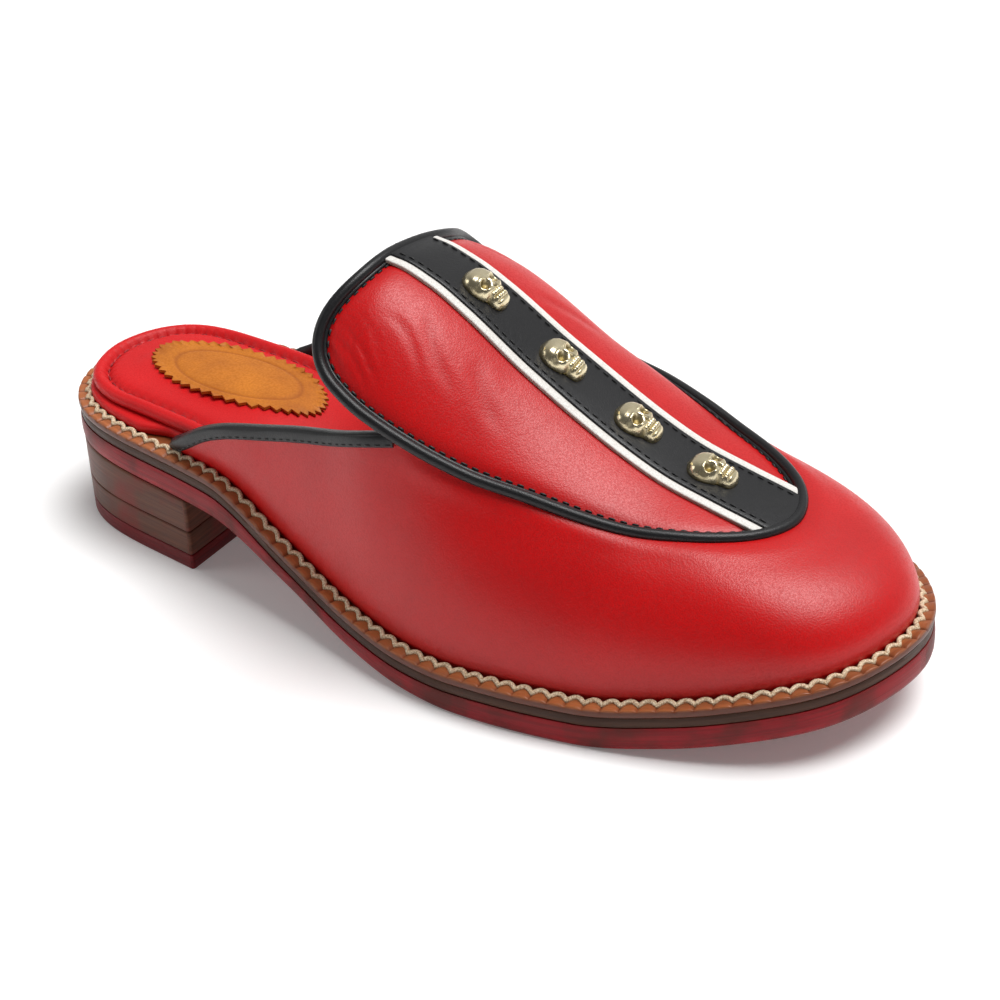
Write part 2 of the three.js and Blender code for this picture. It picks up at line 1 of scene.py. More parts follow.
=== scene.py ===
# %% [markdown]
# # A backless loafer mule
#
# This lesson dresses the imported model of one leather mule, a right shoe with no back, a tall
# free tongue, a piped apron, a studded strap and a stacked heel. Every piece is built again as
# a fine mesh around the same sizes, so that it lies exactly where the plain solid lay.

# %% Load the frame
import math

import bmesh
import bpy
import numpy as np
from mathutils import Matrix, Vector


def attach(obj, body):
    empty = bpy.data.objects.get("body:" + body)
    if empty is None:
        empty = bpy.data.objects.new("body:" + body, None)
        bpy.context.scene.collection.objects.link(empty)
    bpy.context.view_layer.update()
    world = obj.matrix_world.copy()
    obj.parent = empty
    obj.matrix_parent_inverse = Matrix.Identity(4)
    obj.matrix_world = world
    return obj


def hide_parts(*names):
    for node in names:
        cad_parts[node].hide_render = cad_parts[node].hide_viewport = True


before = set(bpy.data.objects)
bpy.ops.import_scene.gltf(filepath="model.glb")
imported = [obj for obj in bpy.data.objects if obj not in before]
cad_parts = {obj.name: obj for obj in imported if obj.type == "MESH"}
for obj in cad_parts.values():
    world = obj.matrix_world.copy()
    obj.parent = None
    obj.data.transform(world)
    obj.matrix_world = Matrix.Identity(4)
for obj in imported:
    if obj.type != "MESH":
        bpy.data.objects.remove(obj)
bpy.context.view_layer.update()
print("plain solids:", sorted(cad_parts))

# %% [markdown]
# ## Sizes
#
# A shoemaker works in millimetres, from the heel forward. So does this script: x runs from the
# heel (0) to the toe, y to the big-toe side, z up. One helper moves finished points into the
# frame's metres. The few sizes below drive everything, and the tables further on hold shares of
# them.

# %% Sizes in millimetres
MM = 0.001
LENGTH = 270
BALL_WIDTH = 106
WAIST_WIDTH = 77
HEEL_WIDTH = 69
HEEL_HEIGHT = 22.5
TOE_SPRING = 13.5
HEEL_BREAST = 58
TOP_PIECE = 4.5
LIFT = 7.5
OUTSOLE = 7
MIDSOLE = 3
WELT = 2
WELT_WIDTH = 4.5
WELT_TUCK = 5.5
INSOLE = 3
SOCK = 3.6
PATCH_THICK = 0.8
PATCH_LENGTH = 61
PATCH_WIDTH = 29
LEATHER = 2
INSTEP_HEIGHT = 90
SIDE_HEIGHT = 40
APRON_WIDTH = 84
APRON_REAR = 112
APRON_TOE = 231
WING_REAR = 51
JUNCTION = 142
BINDING_THICK = 0.9
STRAP_WIDE = 18.5
TRIM_WIDE = 2.6
STUD_LONG = 14
STUD_COUNT = 4
FIRST_STUD = 141
STUD_PITCH = 22.3
FIT = 0.3
SOLE_EDGE = OUTSOLE + MIDSOLE + WELT + 2 * FIT


def table(columns, *rows):
    """A short table with named columns, as arrays."""
    return {name: np.array(values, float) for name, values in zip(columns.split(), zip(*rows))}


print("sole edge", SOLE_EDGE, "mm over the underside")

# %% [markdown]
# ## Curves
#
# A table becomes a line in two ways. Heights use a cubic that never overshoots its rows, so a
# flat spot stays flat. Outlines use a closed spline with even curvature, because a shiny
# leather shows every kink of the line that it hangs from.

# %% Curve helpers


def along(rows, column):
    """A smooth function through one column of a table, which never overshoots its rows."""
    at, value = rows["at"], rows[column]
    steps = np.diff(at)
    rates = np.diff(value) / steps
    slopes = np.concatenate([rates[:1], np.zeros(len(at) - 2), rates[-1:]])
    for i in range(1, len(at) - 1):
        if rates[i - 1] * rates[i] > 0:
            before = 2 * steps[i] + steps[i - 1]
            after = steps[i] + 2 * steps[i - 1]
            slopes[i] = (before + after) / (before / rates[i - 1] + after / rates[i])

    def read(x):
        x = np.clip(x, at[0], at[-1])
        i = np.clip(np.searchsorted(at, x, side="right") - 1, 0, len(at) - 2)
        t = (x - at[i]) / steps[i]
        bend = t * t * (3 - 2 * t)
        lead = t * (1 - t) ** 2 * steps[i] * slopes[i]
        tail = t * t * (1 - t) * steps[i] * slopes[i + 1]
        return value[i] * (1 - bend) + value[i + 1] * bend + lead - tail

    return read


def smooth_step(x, start, stop):
    t = np.clip((np.asarray(x, float) - start) / (stop - start), 0, 1)
    return t * t * (3 - 2 * t)


def bump_at(x, middle, reach):
    """A soft hump of height 1 at a middle, gone a little past its reach."""
    return np.exp(-((np.asarray(x, float) - middle) / reach) ** 2)


def unit(vectors):
    return vectors / np.maximum(np.linalg.norm(vectors, axis=-1, keepdims=True), 1e-12)


def spline(knots, dense, closed):
    """Points of a cubic spline through knots, with even curvature."""
    knots = np.asarray(knots, float)
    ends = np.roll(knots, -1, 0) if closed else knots[1:]
    starts = knots if closed else knots[:-1]
    spans = np.sqrt(np.linalg.norm(ends - starts, axis=1))
    count = len(knots)
    system = np.eye(count)
    wanted = np.zeros_like(knots)
    for i in range(0 if closed else 1, count if closed else count - 1):
        before, after = spans[i - 1], spans[i % len(spans)]
        system[i] = 0
        system[i, i - 1] += before
        system[i, i] += 2 * (before + after)
        system[i, (i + 1) % count] += after
        rise = (knots[(i + 1) % count] - knots[i]) / after
        wanted[i] = 6 * (rise - (knots[i] - knots[i - 1]) / before)
    bends = np.linalg.solve(system, wanted)
    knot_times = np.concatenate([[0], np.cumsum(spans)])
    times = np.linspace(0, knot_times[-1], dense, endpoint=not closed)
    i = np.clip(np.searchsorted(knot_times, times, side="right") - 1, 0, len(spans) - 1)
    j = (i + 1) % count
    span, left = spans[i][:, None], (knot_times[i + 1] - times)[:, None]
    right = (times - knot_times[i])[:, None]
    return (
        (bends[i] * left ** 3 + bends[j] * right ** 3) / (6 * span)
        + (knots[i] / span - bends[i] * span / 6) * left
        + (knots[j] / span - bends[j] * span / 6) * right
    )


print("table and spline curves ready")


# %% Closed curves in plan


class Loop:
    """A closed curve in plan. A share is how far round it a place lies, from the toe."""

    def __init__(self, knots):
        points = spline(knots, 6000, True)
        closed = np.vstack([points, points[:1]])
        travel = np.concatenate([[0], np.cumsum(np.linalg.norm(np.diff(closed, axis=0), axis=1))])
        self.length = travel[-1]
        self.shares = travel / travel[-1]
        self.points = closed

    def at(self, share):
        share = np.asarray(share, float) % 1
        return np.stack([np.interp(share, self.shares, self.points[:, k]) for k in (0, 1)], -1)

    def tangent(self, share):
        step = 0.6 / self.length
        return unit(self.at(np.asarray(share) + step) - self.at(np.asarray(share) - step))

    def share_at(self, x, start, stop):
        """The first share from start to stop where the curve reaches each x."""
        shares = np.linspace(start, stop, 8000)
        line = self.at(shares)[:, 0]
        if line[-1] < line[0]:
            return np.interp(-np.asarray(x, float), -np.minimum.accumulate(line), shares)
        return np.interp(x, np.maximum.accumulate(line), shares)


def plan_loop(tip, rows, back):
    """Toe tip, back along the lateral side, heel tip and forward along the medial side."""
    x, lateral, medial = rows
    sides = list(zip(x[::-1], lateral[::-1])), list(zip(x, medial))
    return Loop([tip, *sides[0], back, *sides[1]])


print("curve helpers ready")

# %% Outline of the sole
OUTLINE = table(
    "at width lateral medial",
    (0.02, HEEL_WIDTH, 0.23, 0.28),
    (0.07, HEEL_WIDTH, 0.38, 0.455),
    (0.16, HEEL_WIDTH, 0.46, 0.525),
    (0.27, HEEL_WIDTH, 0.53, 0.505),
    (0.40, WAIST_WIDTH, 0.58, 0.43),
    (0.52, BALL_WIDTH, 0.505, 0.37),
    (0.62, BALL_WIDTH, 0.525, 0.455),
    (0.72, BALL_WIDTH, 0.497, 0.485),
    (0.82, BALL_WIDTH, 0.435, 0.468),
    (0.91, BALL_WIDTH, 0.345, 0.385),
    (0.97, BALL_WIDTH, 0.213, 0.238),
)
HEEL_TIP_Y = 0.02 * HEEL_WIDTH
TOE_TIP_Y = 0.045 * BALL_WIDTH

outline = plan_loop(
    (LENGTH, TOE_TIP_Y),
    (LENGTH * OUTLINE["at"], -OUTLINE["width"] * OUTLINE["lateral"], OUTLINE["width"] * OUTLINE["medial"]),
    (0, HEEL_TIP_Y),
)
heel_turn = float(outline.shares[np.argmin(outline.points[:, 0])])
FRAME_SHIFT = np.array([LENGTH / 2, (outline.points[:, 1].min() + outline.points[:, 1].max()) / 2, 0])
print("outline", round(outline.length), "mm round, heel at share", round(heel_turn, 3))

# %% [markdown]
# ## The sole's line
#
# The underside stands on the heel and the ball, arches between them and springs up at the toe.
# Each layer above follows the layer below, so one function of x gives the height of each.

# %% Sole heights and rings
UNDERSIDE = table(
    "at heel toe",
    (0, 1.12, 0), (0.13, 1.06, 0), (0.25, 1, 0), (0.36, 0.6, 0), (0.46, 0.22, 0), (0.55, 0.04, 0),
    (0.6, 0, 0), (0.73, 0, 0), (0.82, 0, 0.24), (0.92, 0, 0.68), (1, 0, 1),
)
EDGE = table("at thick", (0, 0.93), (0.25, 0.97), (0.38, 0.6), (0.5, 0.72), (0.64, 0.9), (1, 1))
heel_share = along(UNDERSIDE, "heel")
toe_share = along(UNDERSIDE, "toe")
edge_share = along(EDGE, "thick")


def underside(x):
    return HEEL_HEIGHT * heel_share(x / LENGTH) + TOE_SPRING * toe_share(x / LENGTH)


def outsole_top(x):
    return underside(x) + OUTSOLE * edge_share(x / LENGTH)


def midsole_top(x):
    return outsole_top(x) + FIT + MIDSOLE


def welt_top(x):
    return midsole_top(x) + FIT + WELT


WALL_FOOT = WELT_WIDTH + LEATHER + BINDING_THICK + 3 * FIT
WELT_INNER = WELT_WIDTH + LEATHER + WELT_TUCK
BOARD_STEP = (16, 4)
SOCK_STEP = (2, 52)


def board_edge(x):
    step = smooth_step(x, WING_REAR - BOARD_STEP[0], WING_REAR - BOARD_STEP[1])
    return WELT_WIDTH + (WALL_FOOT - WELT_WIDTH) * step


def sock_edge(x):
    return WELT_WIDTH + (WALL_FOOT - WELT_WIDTH) * smooth_step(x, SOCK_STEP[0], SOCK_STEP[1])


def board_top(x):
    return welt_top(x) + FIT + INSOLE


def inset(share, distance):
    """Points in plan, a distance inside the outline. The distance may vary with x."""
    place = outline.at(share)
    tangent = outline.tangent(share)
    gap = distance(place[:, 0]) if callable(distance) else np.broadcast_to(distance, len(place))
    inward = np.stack([tangent[:, 1], -tangent[:, 0]], -1)
    return place + inward * np.asarray(gap, float)[:, None]


def ring(shares, distance, height):
    plan = inset(shares, distance)
    return np.column_stack([plan, height(plan[:, 0])])


def paired_shares(count):
    """Shares round the outline, in pairs that lie straight across the shoe from each other."""
    x = LENGTH * (1 + np.cos(np.pi * (np.arange(count) + 0.5) / count)) / 2
    lateral = outline.share_at(x, 0, heel_turn)
    medial = outline.share_at(x[::-1], heel_turn, 1)
    return np.concatenate([lateral, medial])


print("heel seat", round(float(welt_top(10)), 1), "mm, waist", round(float(welt_top(110)), 1), "mm high")

# %% [markdown]
# ## Meshes from rings
#
# Sewn and stacked things are rings of points joined by quads. One helper numbers the quads of
# any grid, another turns points in millimetres into an object that rides on the shoe. Marks are
# per-point values that a material reads by name, such as the painted shade in creases and seams,
# and the patina in the studs' hollows.

# %% Mesh helpers


def quads(rows, columns, loop_rows=False, loop_columns=False, start=0):
    r = np.arange(rows if loop_rows else rows - 1)[:, None]
    c = np.arange(columns if loop_columns else columns - 1)[None, :]
    near, far = (r + 1) % rows, (c + 1) % columns
    corners = [r * columns + c, r * columns + far, near * columns + far, near * columns + c]
    return (np.stack(corners, -1).reshape(-1, 4) + start).tolist()


def close_across(count, start):
    """Strips straight across a ring of paired points, which close a layer."""
    return [[start + k for k in (i, i + 1, count - 2 - i, count - 1 - i)] for i in range(count // 2 - 1)]


def piece(name, points, faces, finish, marks=None, sharp=None, second=None):
    """A mesh object from points in millimetres, riding on the shoe."""
    mesh = bpy.data.meshes.new(name)
    points = np.asarray(points, float).reshape(-1, 3)
    mesh.from_pydata(((points - FRAME_SHIFT) * MM).tolist(), [], faces)
    for key, values in (marks or {}).items():
        values = np.asarray(values, float)
        kind = "FLOAT_VECTOR" if values.shape[-1:] == (3,) and values.ndim > 1 else "FLOAT"
        mark = mesh.attributes.new(key, kind, "POINT")
        mark.data.foreach_set("vector" if kind == "FLOAT_VECTOR" else "value", values.ravel())
    build = bmesh.new()
    build.from_mesh(mesh)
    bmesh.ops.recalc_face_normals(build, faces=build.faces)
    build.to_mesh(mesh)
    build.free()
    mesh.shade_smooth()
    if sharp:
        mesh.set_sharp_from_angle(angle=math.radians(sharp))
    mesh.materials.append(finish)
    if second:
        mesh.materials.append(second[0])
        picked = second[1](mesh)
        mesh.polygons.foreach_set("material_index", picked.astype(np.int32))
    thing = bpy.data.objects.new(name, mesh)
    bpy.context.scene.collection.objects.link(thing)
    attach(thing, "root")
    print(name, len(mesh.polygons), "faces")
    return thing


def stitches(name, starts, ends, normals, radius, bow, finish, slot):
    """Short threads, each bowed over the leather between two holes, as one mesh."""
    shares = np.array([0, 0.12, 0.35, 0.65, 0.88, 1])
    thin = np.array([0.35, 0.85, 1, 1, 0.85, 0.35])
    angles = 2 * np.pi * np.arange(6) / 6
    along_thread = unit(ends - starts)
    sideways = unit(np.cross(along_thread, normals))
    middle = (
        starts[:, None] + (ends - starts)[:, None] * shares[None, :, None]
        + normals[:, None] * (bow * 4 * shares * (1 - shares))[None, :, None]
    )
    turn = (
        sideways[:, None, None] * np.cos(angles)[None, None, :, None]
        + normals[:, None, None] * np.sin(angles)[None, None, :, None]
    )
    points = middle[:, :, None] + turn * (radius * thin)[None, :, None, None]
    faces = []
    for k in range(len(starts)):
        first = k * 36
        faces += quads(6, 6, loop_columns=True, start=first)
        faces += [[first + i for i in range(6)], [first + 30 + i for i in range(6)]]
    return piece(name, points, faces, finish)


def stitch_places(path, normals, pitch, long):
    """Where the threads of a row start and end, along a path over the leather."""
    travel = np.concatenate([[0], np.cumsum(np.linalg.norm(np.diff(path, axis=0), axis=1))])
    count = int(travel[-1] // pitch)
    middles = (np.arange(count) + 0.5) * travel[-1] / count

    def read(values, place):
        return np.stack([np.interp(place, travel, values[:, k]) for k in range(3)], -1)

    return read(path, middles - long / 2), read(path, middles + long / 2), unit(read(normals, middles))


print("mesh helpers ready")

# %% [markdown]
# ## Shader groups
#
# Leather has pores and fine wrinkles, and its dye is never even. Sole edges and heel lifts show
# the layers of the hide as long streaks. Each effect is a node group, built once, that puts out
# a height or a mask, and every material places it with values of its own.

# %% Node helpers


def node(tree, kind, inputs=None, **settings):
    made = tree.nodes.new(kind)
    for key, value in settings.items():
        setattr(made, key, value)
    for key, value in (inputs or {}).items():
        if isinstance(value, bpy.types.NodeSocket):
            tree.links.new(value, made.inputs[key])
        else:
            made.inputs[key].default_value = value
    return made


def maths(tree, operation, first, second=0.0):
    return node(tree, "ShaderNodeMath", {0: first, 1: second}, operation=operation).outputs[0]


def mixed(tree, factor, first, second):
    return node(tree, "ShaderNodeMix", {0: factor, 6: first, 7: second}, data_type="RGBA").outputs[2]


def spread(tree, value, low, high, to_low=0.0, to_high=1.0):
    inputs = {0: value, 1: low, 2: high, 3: to_low, 4: to_high}
    return node(tree, "ShaderNodeMapRange", inputs).outputs[0]


def noise(tree, vector, scale, detail=3.0, rough=0.5, twist=0.0):
    inputs = {"Vector": vector, "Scale": scale, "Detail": detail, "Roughness": rough, "Distortion": twist}
    return node(tree, "ShaderNodeTexNoise", inputs).outputs[0]


def new_group(name, inputs, outputs):
    """A node group with named sockets, and its two end nodes."""
    tree = bpy.data.node_groups.new(name, "ShaderNodeTree")
    for label, kind, value in inputs:
        socket = tree.interface.new_socket(label, in_out="INPUT", socket_type="NodeSocket" + kind)
        if value is not None:
            socket.default_value = value
    for label, kind in outputs:
        tree.interface.new_socket(label, in_out="OUTPUT", socket_type="NodeSocket" + kind)
    return tree, tree.nodes.new("NodeGroupInput").outputs, tree.nodes.new("NodeGroupOutput").inputs


def grain_group():
    """Pebbled leather: rounded cells with pores between them, and faint wrinkles."""
    tree, given, result = new_group(
        "Leather grain",
        [("Vector", "Vector", None), ("Cells", "Float", 1100.0), ("Cell Depth", "Float", 0.5),
         ("Wrinkles", "Float", 160.0), ("Wrinkle Depth", "Float", 0.3)],
        [("Height", "Float"), ("Pores", "Float")],
    )
    bent = node(tree, "ShaderNodeVectorMath", {
        0: given["Vector"],
        1: node(tree, "ShaderNodeVectorMath", {
            0: node(tree, "ShaderNodeTexNoise", {"Vector": given["Vector"], "Scale": 700.0}).outputs[1],
            "Scale": 0.0006}, operation="SCALE").outputs[0],
    }, operation="ADD").outputs[0]
    cells = node(tree, "ShaderNodeTexVoronoi", {
        "Vector": bent, "Scale": given["Cells"], "Smoothness": 0.6, "Randomness": 1.0,
    }, feature="SMOOTH_F1").outputs["Distance"]
    pores = spread(tree, cells, 0.25, 0.75)
    waves = noise(tree, bent, given["Wrinkles"], 4, 0.6, 0.4)
    ridge = maths(tree, "ABSOLUTE", maths(tree, "SUBTRACT", waves, 0.5))
    fold = maths(tree, "POWER", spread(tree, ridge, 0.0, 0.14), 0.6)
    high = maths(tree, "MULTIPLY", maths(tree, "SUBTRACT", 1.0, pores), given["Cell Depth"])
    folded = maths(tree, "MULTIPLY", fold, given["Wrinkle Depth"])
    tree.links.new(maths(tree, "ADD", high, folded), result["Height"])
    tree.links.new(pores, result["Pores"])
    return tree


def dye_group():
    """Uneven dye: broad clouds of a second tone, with a finer mottle inside them."""
    tree, given, result = new_group(
        "Uneven dye",
        [("Vector", "Vector", None), ("Main", "Color", (1, 1, 1, 1)), ("Second", "Color", (0, 0, 0, 1)),
         ("Clouds", "Float", 30.0), ("Amount", "Float", 0.4)],
        [("Color", "Color"), ("Mask", "Float")],
    )
    clouds = spread(tree, noise(tree, given["Vector"], given["Clouds"], 4, 0.55, 0.3), 0.35, 0.7)
    mottle = noise(tree, given["Vector"], maths(tree, "MULTIPLY", given["Clouds"], 9.0), 3, 0.6)
    uneven = maths(tree, "MULTIPLY", clouds, spread(tree, mottle, 0.3, 0.7, 0.6, 1.0))
    mask = maths(tree, "MULTIPLY", uneven, given["Amount"])
    tree.links.new(mixed(tree, mask, given["Main"], given["Second"]), result["Color"])
    tree.links.new(mask, result["Mask"])
    return tree


def layer_group():
    """Cut edge of leather: long streaks along the edge, crossed by short fibres."""
    tree, given, result = new_group(
        "Cut layers",
        [("Vector", "Vector", None), ("Streaks", "Float", 900.0), ("Stretch", "Float", 0.03)],
        [("Tone", "Float"), ("Height", "Float")],
    )
    long_way = node(tree, "ShaderNodeVectorMath", {
        0: given["Vector"],
        1: node(tree, "ShaderNodeCombineXYZ", {0: given["Stretch"], 1: 1.0, 2: 1.0}).outputs[0],
    }, operation="MULTIPLY").outputs[0]
    streaks = noise(tree, long_way, given["Streaks"], 5, 0.65, 0.15)
    fibres = noise(tree, long_way, maths(tree, "MULTIPLY", given["Streaks"], 3.1), 3, 0.6)
    tree.links.new(spread(tree, streaks, 0.3, 0.7), result["Tone"])
    tree.links.new(maths(tree, "ADD", streaks, maths(tree, "MULTIPLY", fibres, 0.4)), result["Height"])
    return tree


GRAIN, DYE, LAYERS = grain_group(), dye_group(), layer_group()
print("groups:", [tree.name for tree in (GRAIN, DYE, LAYERS)])

# %% [markdown]
# ## Materials
#
# The upper is a smooth satin leather: a deep red with a soft wide highlight, which comes from a
# middling roughness. The lining is the same dye on softer skin, so it is lighter and duller.
# Piping and strap are black calf, the studs pale gold with dark hollows.

# %% Material helpers


def new_finish(name, roughness, **settings):
    """A material, its tree, its Principled shader and the object's own coordinates."""
    material = bpy.data.materials.new(name)
    material.use_nodes = True
    tree = material.node_tree
    shader = tree.nodes["Principled BSDF"]
    shader.inputs["Roughness"].default_value = roughness
    for label, value in settings.items():
        shader.inputs[label.replace("_", " ")].default_value = value
    return material, tree, shader, tree.nodes.new("ShaderNodeTexCoord").outputs["Object"]


def placed(tree, group, **values):
    made = node(tree, "ShaderNodeGroup", node_tree=group)
    for label, value in values.items():
        socket = made.inputs[label.replace("_", " ")]
        if isinstance(value, bpy.types.NodeSocket):
            tree.links.new(value, socket)
        else:
            socket.default_value = value
    return made.outputs


def mark(tree, name, output="Fac"):
    return node(tree, "ShaderNodeAttribute", attribute_name=name).outputs[output]


def raised(tree, shader, height, distance, strength=1.0, under=None):
    """Feeds a height, in metres of distance, to the shader's normal."""
    inputs = {"Height": height, "Distance": distance, "Strength": strength}
    if under:
        inputs["Normal"] = under
    bump = node(tree, "ShaderNodeBump", inputs).outputs[0]
    tree.links.new(bump, shader.inputs["Normal"])
    return bump


def rgb(red, green, blue):
    return (red, green, blue, 1)


PORE_ROUGH = 0.14


def leather(
        name, main, second, roughness, cells=2100.0, depth=0.00004, wrinkle=0.4, amount=0.35, dark="",
        **settings):
    """Dyed, pebbled leather. A mark named by dark takes the colour towards its second tone, as painted
    shade.
    """
    material, tree, shader, place = new_finish(name, roughness, **settings)
    grain = placed(tree, GRAIN, Vector=place, Cells=cells, Wrinkle_Depth=wrinkle)
    colour = placed(tree, DYE, Vector=place, Main=main, Second=second, Amount=amount)["Color"]
    colour = mixed(tree, maths(tree, "MULTIPLY", grain["Pores"], 0.25), colour, second)
    # Painted shade: the mark darkens the colour where creases, seams, grooves and edges lie in shadow.
    if dark:
        colour = mixed(tree, mark(tree, dark), colour, second)
    tree.links.new(colour, shader.inputs["Base Color"])
    tree.links.new(
        spread(tree, grain["Pores"], 0, 1, roughness, roughness + PORE_ROUGH), shader.inputs["Roughness"])
    raised(tree, shader, grain["Height"], depth)
    return material


def cut_edge(
        name, main, second, roughness, streaks=900.0, stretch=0.03, depth=0.0001, tint=None, dark=None,
        **settings):
    """A dressed leather edge. Its streaks follow the mark lay: way round, height, way in.

    Tint is a second stain, in patches. Dark is the colour of what lies below the layer's top: the
    layer's side, and painted shade in low notches such as those between the welt's scales."""
    material, tree, shader, _ = new_finish(name, roughness, **settings)
    lay = mark(tree, "lay", "Vector")
    layers = placed(tree, LAYERS, Vector=lay, Streaks=streaks, Stretch=stretch)
    colour = mixed(tree, layers["Tone"], main, second)
    clouds = noise(tree, lay, 60.0, 3)
    if tint:
        colour = mixed(tree, spread(tree, clouds, 0.45, 0.62, 0.0, 0.75), colour, tint)
    # Painted shade: what lies lower than the layer's top, such as the notches between the welt's scales, is
    # taken towards dark.
    if dark:
        height = node(tree, "ShaderNodeSeparateXYZ", {0: lay}).outputs["Y"]
        colour = mixed(tree, spread(tree, height, 0.0016, 0.0023, 1.0, 0.0), colour, dark)
    tree.links.new(colour, shader.inputs["Base Color"])
    dull = spread(tree, clouds, 0.3, 0.7, roughness - 0.08, roughness + 0.12)
    tree.links.new(dull, shader.inputs["Roughness"])
    raised(tree, shader, layers["Height"], depth)
    return material


def thread(name, main, second, roughness):
    """Waxed thread, darker where its plies meet."""
    material, tree, shader, place = new_finish(name, roughness)
    plies = noise(tree, place, 2600.0, 2)
    tree.links.new(mixed(tree, spread(tree, plies, 0.4, 0.65), main, second), shader.inputs["Base Color"])
    raised(tree, shader, plies, 0.00012)
    return material


# %% Materials
# Each leather's second tone is its uneven dye, and also the painted shade that the mark deep lays in
# creases, seams, grooves and along edges.
RED, DEEP_RED = rgb(0.58, 0.002, 0.003), rgb(0.3, 0.001, 0.002)
red_leather = leather(
    "red upper leather", RED, DEEP_RED, 0.33, dark="deep", Specular_IOR_Level=0.42)
red_lining = leather(
    "red lining leather", rgb(0.66, 0.008, 0.01), rgb(0.36, 0.003, 0.005), 0.42, cells=2400.0, dark="deep",
    Specular_IOR_Level=0.26)
black_leather = leather(
    "black calf", rgb(0.011, 0.011, 0.012), rgb(0.004, 0.004, 0.005), 0.3, cells=2600.0, dark="deep",
    Specular_IOR_Level=0.34)
white_leather = leather(
    "white calf", rgb(0.84, 0.82, 0.78), rgb(0.3, 0.24, 0.19), 0.5, depth=0.00003, amount=0.12, dark="deep")
tan_leather = leather(
    "tan patch leather", rgb(0.62, 0.2, 0.014), rgb(0.27, 0.06, 0.006), 0.42, cells=1500.0, amount=0.9,
    dark="deep", Specular_IOR_Level=0.25)
# The welt's dark colour marks its side, and is painted shade in the notches between its scales.
welt_leather = cut_edge(
    "tan welt leather", rgb(0.42, 0.13, 0.04), rgb(0.2, 0.055, 0.018), 0.36, streaks=500.0,
    dark=rgb(0.11, 0.024, 0.008), Specular_IOR_Level=0.4)
midsole_edge = cut_edge(
    "brown midsole edge", rgb(0.036, 0.013, 0.007), rgb(0.08, 0.034, 0.018), 0.42, Specular_IOR_Level=0.2)
outsole_edge = cut_edge(
    "dark red outsole edge", rgb(0.34, 0.006, 0.012), rgb(0.15, 0.006, 0.009), 0.4,
    tint=rgb(0.07, 0.016, 0.01), Specular_IOR_Level=0.2)
heel_edge = cut_edge(
    "brown heel stack", rgb(0.06, 0.022, 0.013), rgb(0.17, 0.06, 0.032), 0.42, streaks=700.0,
    tint=rgb(0.2, 0.022, 0.018), Specular_IOR_Level=0.2)
top_piece_edge = cut_edge(
    "dark red top piece", rgb(0.22, 0.008, 0.012), rgb(0.09, 0.008, 0.008), 0.42, Specular_IOR_Level=0.2)
cream_thread = thread("cream thread", rgb(0.8, 0.66, 0.47), rgb(0.42, 0.26, 0.13), 0.5)
black_thread = thread("black thread", rgb(0.012, 0.012, 0.013), rgb(0.004, 0.004, 0.004), 0.5)
red_thread = thread("red thread", rgb(0.36, 0.006, 0.012), rgb(0.2, 0.004, 0.008), 0.6)


def gold_finish():
    """Pale plated metal. The mark deep holds the hollows, which keep a dark patina."""
    material, tree, shader, place = new_finish("pale antique gold", 0.28, Metallic=1.0)
    rubbed = spread(tree, noise(tree, place, 900.0, 3), 0.3, 0.6, 0.7, 1.0)
    shade_and_patina = maths(tree, "MULTIPLY", mark(tree, "deep"), rubbed)
    bright = mixed(tree, noise(tree, place, 350.0, 2), rgb(0.86, 0.78, 0.56), rgb(0.72, 0.6, 0.36))
    tree.links.new(mixed(tree, shade_and_patina, bright, rgb(0.2, 0.14, 0.03)), shader.inputs["Base Color"])
    tree.links.new(spread(tree, shade_and_patina, 0, 1, 0.24, 0.6), shader.inputs["Roughness"])
    raised(tree, shader, noise(tree, place, 1500.0, 3), 0.00006)
    return material


gold = gold_finish()
print("materials:", len(bpy.data.materials))

# %% [markdown]
# ## Camera, floor and light
#
# The camera stands a good thirty degrees round from the side and as much up, close enough for
# the heel to look smaller than the toe, and aims at the middle of the shoe. The light is a soft
# ceiling over the toe and a little behind, which gives the broad highlights on top and lets the
# shadow fall towards the camera, and a tent that is dim in front, so that the leather stays deep
# and dark where it faces us.

# %% Camera
AIM = Vector((17.4, -10.5, 40)) * MM
DISTANCE = 709 * MM
AZIMUTH, ELEVATION, ROLL = (math.radians(angle) for angle in (34.95, 31.66, -3.58))
LENS = 95


def aim_camera():
    level_part = math.cos(ELEVATION)
    back = Vector((math.sin(AZIMUTH) * level_part, -math.cos(AZIMUTH) * level_part, math.sin(ELEVATION)))
    right = Vector((math.cos(AZIMUTH), math.sin(AZIMUTH), 0))
    up = back.cross(right)
    turned_right = right * math.cos(ROLL) + up * math.sin(ROLL)
    turned_up = up * math.cos(ROLL) - right * math.sin(ROLL)
    data = bpy.data.cameras.new("camera")
    data.lens = LENS
    data.clip_start = 0.01
    camera = bpy.data.objects.new("camera", data)
    bpy.context.scene.collection.objects.link(camera)
    axes = Matrix((turned_right, turned_up, back)).transposed()
    camera.matrix_world = Matrix.Translation(AIM + back * DISTANCE) @ axes.to_4x4()
    bpy.context.scene.camera = camera
    print("camera at", [round(value, 3) for value in camera.matrix_world.translation], "m")


aim_camera()

# %% Floor and light
FLOOR_REACH = 6.0
FLOOR_GLOW = 0.12


def lay_floor():
    material, _, shader, _ = new_finish("pale floor", 0.9)
    shader.inputs["Base Color"].default_value = rgb(0.93, 0.925, 0.92)
    shader.inputs["Specular IOR Level"].default_value = 0.1
    shader.inputs["Emission Color"].default_value = rgb(1, 1, 1)
    shader.inputs["Emission Strength"].default_value = FLOOR_GLOW
    mesh = bpy.data.meshes.new("floor")
    corners = [(-FLOOR_REACH, -FLOOR_REACH, 0), (FLOOR_REACH, -FLOOR_REACH, 0),
               (FLOOR_REACH, FLOOR_REACH, 0), (-FLOOR_REACH, FLOOR_REACH, 0)]
    mesh.from_pydata(corners, [], [(0, 1, 2, 3)])
    mesh.materials.append(material)
    floor = bpy.data.objects.new("floor", mesh)
    bpy.context.scene.collection.objects.link(floor)


